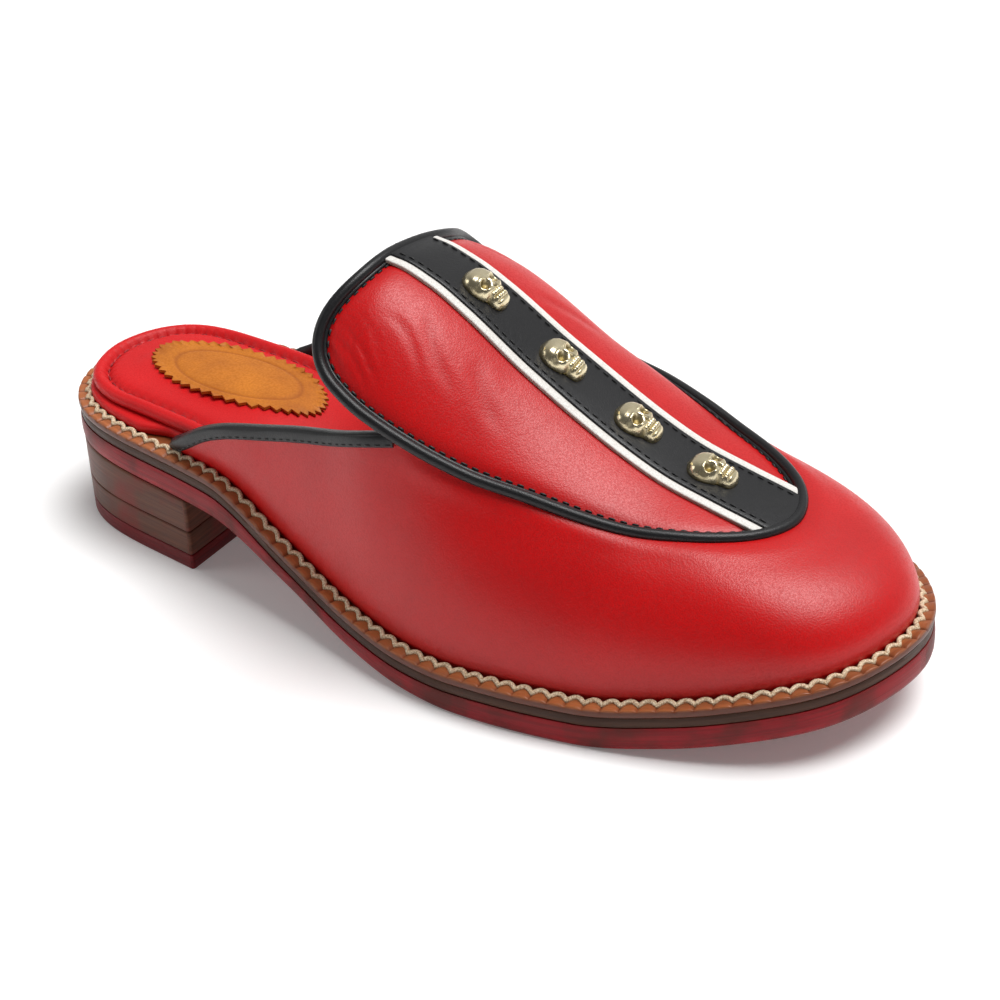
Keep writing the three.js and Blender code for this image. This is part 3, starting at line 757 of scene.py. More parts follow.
def soft_lamp(name, place, target, width, watts):
    data = bpy.data.lights.new(name, "AREA")
    data.shape = "DISK"
    data.size = width
    data.energy = watts
    lamp = bpy.data.objects.new(name, data)
    lamp.location = place
    lamp.rotation_euler = (Vector(target) - Vector(place)).to_track_quat("-Z", "Y").to_euler()
    bpy.context.scene.collection.objects.link(lamp)


def soft_ceiling(name, direction, wide, strength):
    """A wide, even light from one direction, like a lit ceiling: it whitens the whole floor."""
    data = bpy.data.lights.new(name, "SUN")
    data.angle = math.radians(wide)
    data.energy = strength
    lamp = bpy.data.objects.new(name, data)
    lamp.rotation_euler = (-Vector(direction)).to_track_quat("-Z", "Y").to_euler()
    bpy.context.scene.collection.objects.link(lamp)


def light_tent(front, behind):
    """A tent that is dim on the camera's side and bright behind the shoe."""
    world = bpy.data.worlds.new("tent")
    world.use_nodes = True
    tree = world.node_tree
    around = tree.nodes.new("ShaderNodeTexCoord").outputs["Generated"]
    ways = node(tree, "ShaderNodeSeparateXYZ", {0: around})
    background = tree.nodes["Background"]
    background.inputs["Color"].default_value = rgb(1, 1, 1)
    tree.links.new(spread(tree, ways.outputs["Y"], -0.2, 0.9, front, behind), background.inputs["Strength"])
    bpy.context.scene.world = world


lay_floor()
soft_ceiling("ceiling", (0.26, 0.2, 0.94), 38, 3.2)
soft_lamp("lamp over the heel", (-0.7, -0.35, 0.5), (0.0, 0, 0.04), 0.45, 1.0)
light_tent(0.12, 0.6)
bpy.context.scene.view_settings.view_transform = "Standard"
print("lamps:", [lamp.name for lamp in bpy.data.lights])

# %% [markdown]
# ## Heel
#
# The heel is a stack of leather lifts over a rubber top piece, nailed, ground flush and stained.
# It could be one block with painted lines, but the joints are real: each layer is its own mesh
# with its edges just broken, so that light catches the stack the way it does on a bench.

# %% Heel stack
HEEL_SET_IN = 0.3
HEEL_ROUND = 1.4
HEEL_STEPS = 170
BREAST_STEPS = 16
MEET = 0.04


def heel_outline():
    """The heel block's section: the outline round the back, and a straight breast."""
    start = float(outline.share_at(HEEL_BREAST, 0.2, heel_turn))
    stop = float(outline.share_at(HEEL_BREAST, heel_turn, 0.8))
    trim = HEEL_ROUND / outline.length
    arc = inset(np.linspace(start + trim, stop - trim, HEEL_STEPS), HEEL_SET_IN)
    corners = inset(np.array([start, stop]), HEEL_SET_IN)
    breast = unit(corners[1] - corners[0])
    flat = np.linspace(corners[1] - breast * HEEL_ROUND, corners[0] + breast * HEEL_ROUND, BREAST_STEPS)

    def rounded(first, corner, last):
        t = np.linspace(0, 1, 7)[1:-1, None]
        return first * (1 - t) ** 2 + corner * 2 * t * (1 - t) + last * t ** 2

    parts = [arc, rounded(arc[-1], corners[1], flat[0]), flat, rounded(flat[-1], corners[0], arc[0])]
    return np.vstack(parts)


HEEL_PLAN = heel_outline()
heel_normal = np.roll(HEEL_PLAN, -1, 0) - np.roll(HEEL_PLAN, 1, 0)
heel_normal = unit(np.column_stack([heel_normal[:, 1], -heel_normal[:, 0]]))
heel_travel = np.concatenate([[0], np.cumsum(np.linalg.norm(np.diff(HEEL_PLAN, axis=0), axis=1))])


def slab(name, plan, inward, travel, profile, low, high, finish, sharp=50):
    """A flat layer: its plan, drawn in and raised by the rows of a profile, closed by two faces."""
    rows, marks = [], []
    for row_in, up in profile:
        place = plan + inward * row_in
        base, top = low(place[:, 0]), high(place[:, 0])
        z = base + (top - base) * up
        rows.append(np.column_stack([place, z]))
        marks.append(np.column_stack([travel, z - base, np.full(len(z), row_in)]) * MM)
    count = len(plan)
    faces = quads(len(rows), count, loop_columns=True)
    faces += [list(range(count)), list(range((len(rows) - 1) * count, len(rows) * count))]
    return piece(name, np.vstack(rows), faces, finish, {"lay": np.vstack(marks)}, sharp)


def level(z):
    return lambda x: np.full(np.shape(x), float(z))


BROKEN_EDGE = [(0.35, 0.0), (0.1, 0.03), (0.0, 0.07), (0.0, 0.5), (0.0, 0.93), (0.1, 0.97), (0.35, 1.0)]
lift_low = TOP_PIECE + FIT
lift_high = lift_low + LIFT + FIT


def build_heel():
    layers = [
        ("top_piece_of_heel", level(0), level(lift_low - MEET), top_piece_edge, "top_piece",
         "heel_top_piece"),
        ("lower_heel_lift", level(lift_low), level(lift_high - MEET), heel_edge, "heel_stack",
         "heel_lift_lower"),
        ("upper_heel_lift", level(lift_high), lambda x: underside(x) - MEET, heel_edge, "heel_stack",
         "heel_lift_upper"),
    ]
    for name, low, high, finish, slot, stands_for in layers:
        made = slab(name, HEEL_PLAN, heel_normal, heel_travel, BROKEN_EDGE, low, high, finish)
        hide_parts(stands_for)


build_heel()

# %% [markdown]
# ## Outsole and midsole
#
# Both are full layers with the foot's outline. A layer is a stack of rings: the edge is drawn
# slightly proud between two broken corners, as a sole's edge is when it has been set with a hot
# iron, and strips straight across the shoe close it above and below.

# %% Sole layers
SOLE_PAIRS = 230
sole_shares = paired_shares(SOLE_PAIRS)


def sole_layer(name, profile, low, high, finish, stands_for):
    rows, marks = [], []
    for row_in, up in profile:
        plan = inset(sole_shares, row_in)
        base, top = low(plan[:, 0]), high(plan[:, 0])
        z = base + (top - base) * up
        rows.append(np.column_stack([plan, z]))
        travel = sole_shares * outline.length
        marks.append(np.column_stack([travel, z - base, np.full(len(z), row_in)]) * MM)
    count = len(sole_shares)
    faces = quads(len(rows), count, loop_columns=True)
    faces += close_across(count, 0) + close_across(count, (len(rows) - 1) * count)
    made = piece(name, np.vstack(rows), faces, finish, {"lay": np.vstack(marks)}, sharp=40)
    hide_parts(stands_for)


sole_layer(
    "outsole_with_set_edge",
    [(1.6, 0.0), (0.9, 0.02), (0.35, 0.09), (0.1, 0.22), (0.0, 0.45), (0.0, 0.7), (0.1, 0.9), (0.3, 1.0)],
    underside, lambda x: outsole_top(x) + FIT - MEET, outsole_edge, "outsole")
sole_layer(
    "midsole_layer",
    [(0.7, 0.0), (0.45, 0.1), (0.4, 0.5), (0.45, 0.9), (0.7, 1.0)],
    lambda x: outsole_top(x) + FIT, lambda x: midsole_top(x) + FIT - MEET, midsole_edge,
    "midsole")

# %% [markdown]
# ## Welt and its stitching
#
# The welt is the tan strip that holds sole and upper together. A wheel has pressed its top into
# a row of small scales, one for each stitch, and a heavy cream thread bows over each scale from
# hole to hole. Bump would not do here: the scales break the outline, so they are real relief.

# %% Welt
SCALE_PITCH = 4.9
SCALE_HIGH = 0.85
SCALE_REACH = (-0.3, 0.5, 3.6, 4.7)
WELT_POINTS = 1900
scale_count = round(outline.length / SCALE_PITCH)


def build_welt():
    shares = np.arange(WELT_POINTS) / WELT_POINTS
    turn = shares * scale_count % 1
    scale = np.sqrt(np.clip(1 - (2 * turn - 1) ** 2, 0, 1))
    outside = [(0.3, 0.0), (0.1, 0.12), (0.0, 0.4), (0.02, 0.7), (0.1, 0.9)]
    flat = [(row_in, 1.0) for row_in in (0.25, 0.5, 0.9, 1.5, 2.1, 2.7, 3.2, 3.7, 4.1, 4.5, 5.4, 8.0)]
    profile = outside + flat + [(WELT_INNER, 1.0), (WELT_INNER, 0.0)]
    rows, marks = [], []
    outer, full, ebb, inner = SCALE_REACH
    for row_in, up in profile:
        plan = inset(shares, row_in)
        base, top = midsole_top(plan[:, 0]) + FIT, welt_top(plan[:, 0])
        z = base + (top - base) * up
        inside = smooth_step(row_in, outer, full) * (1 - smooth_step(row_in, ebb, inner))
        z = z + (SCALE_HIGH * scale - 0.35) * inside * (up > 0.8)
        rows.append(np.column_stack([plan, z]))
        marks.append(np.column_stack([shares * outline.length, z - base, np.full(len(z), row_in)]) * MM)
    faces = quads(len(rows), WELT_POINTS, loop_rows=True, loop_columns=True)
    marks = {"lay": np.vstack(marks)}
    made = piece("wheeled_welt", np.vstack(rows), faces, welt_leather, marks, sharp=60)
    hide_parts("welt")


build_welt()

# %% Welt thread
THREAD_RADIUS = 0.7
THREAD_STEPS = 9
THREAD_SIDES = 7
THREAD_IN, THREAD_BOW = 2.1, 1.8


def build_welt_thread():
    """One thick thread for each scale, bowed towards the upper and over the scale's top."""
    t = np.linspace(0, 1, THREAD_STEPS)
    arc = 4 * t * (1 - t)
    angles = 2 * np.pi * np.arange(THREAD_SIDES) / THREAD_SIDES
    all_points, faces = [], []
    for k in range(scale_count):
        shares = (k + t * 1.06 - 0.03) / scale_count
        plan = inset(shares, THREAD_IN + THREAD_BOW * arc)
        centre = np.column_stack([plan, welt_top(plan[:, 0]) + SCALE_HIGH * arc ** 0.6])
        ahead = unit(np.gradient(centre, axis=0))
        side = unit(np.cross(ahead, [0, 0, 1]))
        above = np.cross(side, ahead)
        radius = THREAD_RADIUS * np.clip(0.45 + 1.6 * arc, 0, 1)
        turn = side[:, None] * np.cos(angles)[None, :, None]
        turn = turn + above[:, None] * np.sin(angles)[None, :, None]
        all_points.append((centre[:, None] + turn * radius[:, None, None]).reshape(-1, 3))
        first = k * THREAD_STEPS * THREAD_SIDES
        faces += quads(THREAD_STEPS, THREAD_SIDES, loop_columns=True, start=first)
        last = first + (THREAD_STEPS - 1) * THREAD_SIDES
        faces += [[first + i for i in range(THREAD_SIDES)], [last + i for i in range(THREAD_SIDES)]]
    piece("welt_lock_stitches", np.vstack(all_points), faces, cream_thread)


build_welt_thread()

# %% [markdown]
# ## Insole board and padded sock
#
# The board is wrapped in the red lining, and its edge shows round the heel. On it lies a sock
# stuffed with thin foam: a rolled rim, a stitched groove that puckers at every stitch, and a low
# cushion inside it. A cloth simulation would round it off, but the rim and its puckers would be
# lost in the remeshing, so the roll is drawn as a profile and the puckers are moved in.

# %% Board and sock
SOCK_PAIRS = 420
SOCK_SPANS = 14
PUCKER_PITCH = 4.2
SOCK_DOME = 0.7
sock_shares = paired_shares(SOCK_PAIRS)
sock_travel = sock_shares * outline.length


def build_board():
    sway = 0.22 * np.sin(sock_travel / 17) + 0.13 * np.sin(sock_travel / 7.3 + 1)
    profile = [
        (4.0, 0.0), (1.2, 0.0), (0.35, 0.1), (0.0, 0.35), (0.0, 0.65), (0.3, 0.9), (0.9, 1.0), (3.0, 1.0)]
    rows = []
    for row_in, up in profile:
        plan = inset(sock_shares, lambda x: board_edge(x) + row_in + sway)
        rows.append(np.column_stack([plan, welt_top(plan[:, 0]) + 0.05 + (FIT + INSOLE) * up]))
    count = len(sock_shares)
    faces = quads(len(rows), count, loop_columns=True)
    faces += close_across(count, 0) + close_across(count, (len(rows) - 1) * count)
    made = piece("wrapped_insole_board", np.vstack(rows), faces, red_lining)
    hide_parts("insole")


SOCK_PROFILE = table(
    "inside up",
    (2.2, 0.0), (1.2, 0.05), (0.75, 0.25), (0.65, 0.5), (0.9, 0.76), (1.5, 0.95), (2.4, 1.05), (3.3, 1.03),
    (4.1, 0.88), (4.7, 0.66), (5.1, 0.54), (5.5, 0.56), (6.0, 0.7), (6.8, 0.86), (8.2, 0.96), (10.5, 1.0),
    (13.5, 1.02),
)


def build_sock():
    stitch = 0.5 + 0.5 * np.cos(2 * np.pi * sock_travel / PUCKER_PITCH)
    wander = np.sin(sock_travel / 11.3) * np.sin(sock_travel / 5.1 + 2)
    rows, deep = [], []
    for row_in, up in zip(SOCK_PROFILE["inside"], SOCK_PROFILE["up"]):
        near = bump_at(row_in, 5.2, 1.4)
        rim = bump_at(row_in, 2.4, 1.6)
        plan = inset(sock_shares, lambda x: sock_edge(x) + row_in + 0.12 * wander)
        z = board_top(plan[:, 0]) + FIT * 0.2 + SOCK * up
        z = z - 0.55 * near * stitch ** 3 + 0.1 * rim * wander + 0.1 * near * wander
        rows.append(np.column_stack([plan, z]))
        # Painted shade: the mark deep darkens the stitched groove, most at the puckers, and the foot of the
        # rim over the board.
        groove = 0.75 * bump_at(row_in, 5.2, 0.7) * (0.4 + 0.6 * stitch)
        deep.append(groove + 0.5 * (row_in < 1.0) * (up < 0.4))
    count = len(sock_shares)
    half = count // 2
    inner = rows[-1]
    lateral, medial = inner[:half], inner[::-1][:half]
    for k in range(1, SOCK_SPANS):
        t = k / SOCK_SPANS
        line = lateral * (1 - t) + medial * t
        line[:, 2] += SOCK_DOME * 4 * t * (1 - t) * smooth_step(medial[:, 1] - lateral[:, 1], 0, 30)
        rows.append(line)
        deep.append(np.zeros(half))
    profile_rows = len(SOCK_PROFILE["up"])
    faces = quads(profile_rows, count, loop_columns=True)
    inner_start = (profile_rows - 1) * count
    lines = [[inner_start + i for i in range(half)]]
    for k in range(SOCK_SPANS - 1):
        lines.append([profile_rows * count + k * half + i for i in range(half)])
    lines.append([inner_start + count - 1 - i for i in range(half)])
    for one, other in zip(lines, lines[1:]):
        faces += [[one[i], one[i + 1], other[i + 1], other[i]] for i in range(half - 1)]
    for end in (0, half - 1):
        faces.append([line[end] for line in lines])
    faces += close_across(count, 0)
    marks = {"deep": np.concatenate(deep)}
    made = piece("padded_sock", np.vstack(rows), faces, red_lining, marks)
    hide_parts("sock_pad")
    plan = inset(sock_shares, lambda x: sock_edge(x) + 5.2)
    path = np.column_stack([plan, board_top(plan[:, 0]) + SOCK * 0.52])
    places = stitch_places(path, np.tile([0, 0, 1.0], (len(path), 1)), PUCKER_PITCH, 2.9)
    stitches("sock_stitches", *places, 0.28, 0.3, red_thread, "red_lining")


build_board()
build_sock()

# %% [markdown]
# ## Heel patch
#
# A thin oval of tan leather, cut with pinking shears and glued to the sock. The teeth are part
# of its outline, and the glue has let some of them lift, so both are real shape. A plain blind
# line is pressed in round its middle.

# %% Heel patch
PATCH_REAR = 20
PATCH_SHIFT = 4.5
PATCH_TEETH = 44
TOOTH_DEEP = 1.6
PATCH_LINE_IN = 4.2


def sock_surface(x, y):
    """The sock's top, with its low dome."""
    plan = inset(sock_shares, lambda place: sock_edge(place) + 13.5)
    half = len(plan) // 2
    lateral = np.interp(x, plan[:half][::-1, 0], plan[:half][::-1, 1])
    medial = np.interp(x, plan[half:, 0], plan[half:, 1])
    t = np.clip((y - lateral) / np.maximum(medial - lateral, 1), 0, 1)
    return board_top(x) + FIT * 0.2 + SOCK * 1.02 + SOCK_DOME * 4 * t * (1 - t)


def build_patch():
    around = 10 * PATCH_TEETH
    angle = 2 * np.pi * np.arange(around) / around
    tooth = TOOTH_DEEP * np.abs(2 * (angle * PATCH_TEETH / (2 * np.pi) % 1) - 1)
    curl = 0.35 + 0.3 * np.sin(3 * angle + 0.4) + 0.2 * np.sin(7 * angle) + 0.12 * np.sin(19 * angle)
    middle = PATCH_REAR + PATCH_LENGTH / 2
    outs = np.concatenate([np.linspace(0.03, 0.93, 26), [0.96, 0.985, 1]])
    rows, deep = [], []
    for up, order in ((0.1, outs), (PATCH_THICK + 0.1, outs[::-1])):
        for out in order:
            long = (PATCH_LENGTH / 2 - tooth * smooth_step(out, 0.85, 1)) * out
            wide = (PATCH_WIDTH / 2 - tooth * smooth_step(out, 0.85, 1)) * out
            x, y = middle + np.cos(angle) * long, PATCH_SHIFT + np.sin(angle) * wide
            inside = PATCH_WIDTH / 2 * (1 - out)
            line = bump_at(inside, PATCH_LINE_IN, 0.35)
            lifted = curl * smooth_step(out, 0.8, 1) ** 2
            z = sock_surface(x, y) + up + lifted - 0.25 * line * (up > 0.5)
            rows.append(np.column_stack([x, y, z]))
            # Painted shade in the pressed line and along the lifted teeth of the edge.
            shade_and_patina = 0.55 * line + 0.35 * smooth_step(out, 0.97, 1)
            deep.append(np.full(around, shade_and_patina * (up > 0.5)))
    faces = quads(len(rows), around, loop_columns=True)
    faces += [list(range(around)), list(range((len(rows) - 1) * around, len(rows) * around))]
    marks = {"deep": np.concatenate(deep)}
    made = piece("pinked_heel_patch", np.vstack(rows), faces, tan_leather, marks, sharp=50)
    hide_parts("heel_patch")


build_patch()

# %% [markdown]
# ## The crown
#
# Tongue, apron, strap and studs all lie on one surface, the top of the last: it runs up from the
# toe to the tongue, falls away to both sides, and leans a little to the medial side at the
# tongue. Here it is a function of the plan, so that everything on it can ask for its height and
# its normal. The creases are part of it, and the pieces above follow them.

# %% Crown of the apron and its creases
CROWN_POWER = 2.6
CROWN = table(
    "at rise fall lean",
    (0.4, 0.955, 0.25, 0.08), (0.455, 0.953, 0.235, 0.08), (0.49, 0.927, 0.225, 0.07),
    (0.526, 0.872, 0.215, 0.05), (0.593, 0.732, 0.21, 0.015), (0.65, 0.62, 0.175, 0),
    (0.7, 0.53, 0.152, 0), (0.74, 0.468, 0.14, 0), (0.79, 0.409, 0.13, 0), (0.83, 0.36, 0.13, 0),
    (0.87, 0.303, 0.13, 0),
)
TUCK_DEPTH = 6.5
TUCK_FROM = 0.68
TUCK_SPAN = (106, 124, 172, 216)
HEEL_EASE = (0.2, 0.4)
TOE_EASE = (0.62, 0.38)
MIDDLE = table("at shift", (0, 0), (0.25, 0.02), (0.5, 0.042), (0.87, 0.055), (1, 0.065))
CREASES = table(
    "x0 y0 x1 y1 bow reach depth",
    (117.5, -33.5, 131.0, -38.6, 0.6, 0.55, 0.34),
    (118.6, -32.0, 134.0, -37.2, 0.7, 0.5, 0.3),
    (117.0, -30.4, 131.5, -35.8, 0.5, 0.5, 0.32),
    (118.2, -28.6, 128.0, -33.4, 0.6, 0.45, 0.24),
    (121.0, -27.4, 133.0, -33.4, 0.8, 0.5, 0.2),
    (116.6, -35.6, 124.0, -39.2, 0.4, 0.45, 0.26),
    (129.0, -24.0, 142.0, -29.5, 1.4, 1.3, 0.22),
    (136.0, -17.0, 150.0, -27.0, -1.6, 1.8, 0.25),
    (150.0, -16.0, 163.0, -25.0, -1.6, 2.2, 0.22),
    (118.5, 26.0, 130.0, 34.0, -0.8, 0.8, 0.25),
    (120.0, 23.0, 134.0, 31.0, -1.0, 0.7, 0.2),
    (146.0, 18.0, 160.0, 30.0, 1.5, 2.0, 0.22),
)
EDGE_DIP = 0.7
EDGE_DIP_REACH = 2.6
crown_rise = along(CROWN, "rise")
crown_fall = along(CROWN, "fall")
crown_lean = along(CROWN, "lean")
apron_shift = along(MIDDLE, "shift")


def apron_middle(x):
    return APRON_WIDTH * apron_shift((x - APRON_REAR) / (APRON_TOE - APRON_REAR))


def last_line(x):
    heel = np.clip(1 - (x / LENGTH - HEEL_EASE[0]) / HEEL_EASE[1], 0, 1)
    toe = np.maximum((x / LENGTH - TOE_EASE[0]) / TOE_EASE[1], 0)
    return SOLE_EDGE + HEEL_HEIGHT * heel ** 2 + TOE_SPRING * toe ** 2


def crown_height(x, y):
    across = (y - apron_middle(x)) / (APRON_WIDTH / 2)
    fall = crown_fall(x / LENGTH) * np.abs(across) ** CROWN_POWER
    lean = crown_lean(x / LENGTH) * across * (1 - across ** 2)
    start, full, ebb, stop = TUCK_SPAN
    tucked = smooth_step(x, start, full) * (1 - smooth_step(x, ebb, stop))
    tuck = TUCK_DEPTH * tucked * (np.maximum(across - TUCK_FROM, 0) / (1 - TUCK_FROM)) ** 2
    return last_line(x) + INSTEP_HEIGHT * (crown_rise(x / LENGTH) - fall - lean) - tuck


def crown(plan):
    return np.concatenate([plan, crown_height(plan[..., 0], plan[..., 1])[..., None]], -1)


def crown_normal(plan):
    x, y = plan[..., 0], plan[..., 1]
    step = 0.5
    slope_x = (crown_height(x + step, y) - crown_height(x - step, y)) / (2 * step)
    slope_y = (crown_height(x, y + step) - crown_height(x, y - step)) / (2 * step)
    return unit(np.stack([-slope_x, -slope_y, np.ones_like(slope_x)], -1))


def crease_depth(plan):
    """How deep the listed creases lie at each place: soft troughs that fade at both ends."""
    total = np.zeros(plan.shape[:-1])
    for x0, y0, x1, y1, bow, reach, depth in zip(*CREASES.values()):
        span = np.array([x1 - x0, y1 - y0])
        long = np.linalg.norm(span)
        ahead = span / long
        gap = plan - np.array([x0, y0])
        t = (gap @ ahead) / long
        away = gap @ np.array([-ahead[1], ahead[0]]) - bow * 4 * t * (1 - t)
        fade = smooth_step(t, -0.1, 0.3) * (1 - smooth_step(t, 0.7, 1.1))
        trough = np.exp(-(away / reach) ** 2)
        ridges = np.exp(-((np.abs(away) - 1.8 * reach) / reach) ** 2)
        total += depth * fade * (trough - 0.35 * ridges)
    return total


print("creases:", len(CREASES["depth"]))

# %% Edge of the apron
APRON = table(
    "at half",
    (0.05, 0.235), (0.022, 0.38), (0.038, 0.452), (0.13, 0.503), (0.27, 0.505), (0.38, 0.475),
    (0.5, 0.435), (0.67, 0.372), (0.83, 0.285), (0.94, 0.18), (0.985, 0.09),
)
TONGUE_MIDDLE = 0.056


def apron_x(at):
    return APRON_REAR + (APRON_TOE - APRON_REAR) * at


apron_rows_x = apron_x(APRON["at"])
apron_edge = plan_loop(
    (APRON_TOE, float(apron_middle(APRON_TOE))),
    (apron_rows_x, apron_middle(apron_rows_x) - APRON_WIDTH * APRON["half"],
     apron_middle(apron_rows_x) + APRON_WIDTH * APRON["half"]),
    (apron_x(TONGUE_MIDDLE), float(apron_middle(apron_x(TONGUE_MIDDLE)))),
)
HUB = np.array([apron_x(0.5), float(apron_middle(apron_x(0.5)))])


def edge_frame(shares):
    """Point, normal and outward direction at places of the apron's edge."""
    plan, tangent = apron_edge.at(shares), apron_edge.tangent(shares)
    normal = crown_normal(plan)
    outward = np.column_stack([-tangent[:, 1], tangent[:, 0], np.zeros(len(plan))])
    outward = unit(outward - (outward * normal).sum(1, keepdims=True) * normal)
    return crown(plan), normal, outward


print("apron edge", round(apron_edge.length), "mm round")

# %% [markdown]
# ## Apron and tongue
#
# One shell of leather from the toe seam to the tongue's free edge, two millimetres thick with a
# lining under it. Its edge sinks a little where the seam draws it down, which gives the pillow
# that a stuffed moccasin has. The grid runs in rings from the middle out to the edge.

# %% Apron and tongue
APRON_AROUND = 480
APRON_OUTS = 1 - (1 - np.linspace(0, 1, 56)) ** 1.35


def build_apron():
    shares = np.arange(APRON_AROUND) / APRON_AROUND
    edge = apron_edge.at(shares)
    outs = 0.012 + 0.988 * APRON_OUTS
    rows, deep, under = [], [], []
    for top, order in ((False, outs), (True, outs[::-1])):
        for out in order:
            plan = HUB + (edge - HUB) * out
            from_edge = np.linalg.norm(edge - plan, axis=1)
            dip = EDGE_DIP * np.exp(-(from_edge / EDGE_DIP_REACH) ** 2)
            crease = crease_depth(plan)
            depth = crease + dip + (0 if top else LEATHER)
            rows.append(crown(plan) - crown_normal(plan) * depth[:, None])
            # Painted shade: the mark deep darkens the creases and the dip beside the seam.
            deep.append(np.clip(crease * 0.8 + 0.25 * dip, 0, 1))
    faces = quads(len(rows), APRON_AROUND, loop_columns=True)
    last = (len(rows) - 1) * APRON_AROUND
    faces += [list(range(APRON_AROUND)), list(range(last, last + APRON_AROUND))]
    lined = len(outs) * APRON_AROUND

    def is_lining(mesh):
        return np.array([max(face.vertices) < lined for face in mesh.polygons])

    made = piece("apron_and_tongue", np.vstack(rows), faces, red_leather,
                 {"deep": np.concatenate(deep)}, second=(red_lining, is_lining))
    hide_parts("upper")


build_apron()

# %% [markdown]
# ## Vamp and wings
#
# The wall rises from the feather edge, where it meets the welt, to the topline of the wings and,
# further forward, to the apron's seam. At the toe it is full and round, at the waist it leans
# in. Each column is one curve from foot to top, and the leather is laid two millimetres inside.

# %% Topline and wall curves
TOPLINE = table(
    "at rise lean",
    (0, 0.06, -0.03), (0.07, 0.17, -0.05), (0.145, 0.295, -0.05), (0.225, 0.41, -0.045),
    (0.305, 0.54, -0.035), (0.433, 0.765, 0), (0.57, 0.99, 0.03), (0.71, 1.19, 0.06),
    (0.85, 1.37, 0.09),
)
WING_COLUMNS = 80
SEAM_COLUMNS = 170
WALL_ROWS = 44
SIDE_BULGE = 2.5
FEATHER = WELT_WIDTH + FIT
SEAM_PUFF = 0.45
MEDIAL_LOWER = 0.07
feather_rear = {
    "lateral": float(outline.share_at(WING_REAR, 0.2, heel_turn)),
    "medial": float(outline.share_at(WING_REAR, heel_turn, 0.8)),
}
feather_join = {
    "lateral": float(outline.share_at(JUNCTION, 0.1, heel_turn)),
    "medial": float(outline.share_at(JUNCTION, heel_turn, 0.9)),
}
seam_join = {
    "lateral": float(apron_edge.share_at(JUNCTION, 0.1, 0.4)),
    "medial": float(apron_edge.share_at(JUNCTION, 0.6, 0.9)),
}


def topline(side, t):
    """The wing's top edge, from its rear end (0) to the junction with the apron (1)."""
    at = TOPLINE["at"]
    shares = feather_rear[side] + (feather_join[side] - feather_rear[side]) * at
    place = outline.at(shares)
    tangent = outline.tangent(shares)
    gap = FEATHER + SIDE_HEIGHT * TOPLINE["lean"]
    place = place + np.column_stack([tangent[:, 1], -tangent[:, 0]]) * gap[:, None]
    lower = MEDIAL_LOWER * bump_at(at, 0.35, 0.3) if side == "medial" else 0
    z = welt_top(WING_REAR + (JUNCTION - WING_REAR) * at) + SIDE_HEIGHT * (TOPLINE["rise"] - lower)
    last = crown(apron_edge.at(np.array([seam_join[side]])))
    knots = np.vstack([np.column_stack([place, z]), last])
    dense = 200
    line = spline(knots, (len(knots) - 1) * dense + 1, False)
    spans = np.sqrt(np.linalg.norm(np.diff(knots, axis=0), axis=1))
    knot_times = np.concatenate([[0], np.cumsum(spans)])
    wanted = np.interp(np.asarray(t) * (len(knots) - 1), np.arange(len(knots)), knot_times)
    times = np.linspace(0, knot_times[-1], len(line))
    return np.stack([np.interp(wanted, times, line[:, k]) for k in range(3)], -1)


def wall_columns(shares, tops, fullness):
    """Curves from the feather edge to the top, one per column: columns x rows x 3."""
    plan = inset(shares, FEATHER)
    foot = np.column_stack([plan, welt_top(plan[:, 0]) + 0.06])
    rise = tops[:, 2] - foot[:, 2]
    outer = inset(shares, FEATHER - SIDE_BULGE * (0.5 + fullness))
    low = np.column_stack([outer, foot[:, 2] + rise * (0.4 + 0.15 * fullness)])
    reach = (0.3 + 0.3 * fullness)[:, None]
    plan = tops[:, :2] + (foot - tops)[:, :2] * reach
    high = np.column_stack([plan, tops[:, 2] - rise * (0.25 - 0.18 * fullness)])
    t = np.linspace(0, 1, WALL_ROWS + 1)[None, :, None]
    foot, low, high, tops = (value[:, None] for value in (foot, low, high, tops))
    return foot * (1 - t) ** 3 + low * 3 * t * (1 - t) ** 2 + high * 3 * t ** 2 * (1 - t) + tops * t ** 3


def wall_side(side, tip):
    wing = np.arange(WING_COLUMNS) / WING_COLUMNS
    rear, join = feather_rear[side], feather_join[side]
    wings = wall_columns(rear + (join - rear) * wing, topline(side, wing), np.zeros(WING_COLUMNS))
    at = np.arange(SEAM_COLUMNS) / SEAM_COLUMNS
    seam = seam_join[side] + (tip - seam_join[side]) * at
    tops = crown(apron_edge.at(seam))
    return np.concatenate([wings, wall_columns(join + (tip - join) * at, tops, smooth_step(at, 0, 1))])


def grid_normals(grid):
    first = np.gradient(grid, axis=0)
    second = np.gradient(grid, axis=1)
    return unit(np.cross(first, second))


print("wings from x", WING_REAR, "to", JUNCTION, "mm")

# %% Vamp and wings
WALL = np.concatenate([
    wall_side("lateral", 0.0),
    wall_columns(np.array([0.0]), crown(apron_edge.at(np.array([0.0]))), np.ones(1)),
    wall_side("medial", 1.0)[::-1],
])
WALL_NORMALS = grid_normals(WALL)
WALL_NORMALS *= np.sign(WALL_NORMALS[len(WALL) // 2, 5, 0])


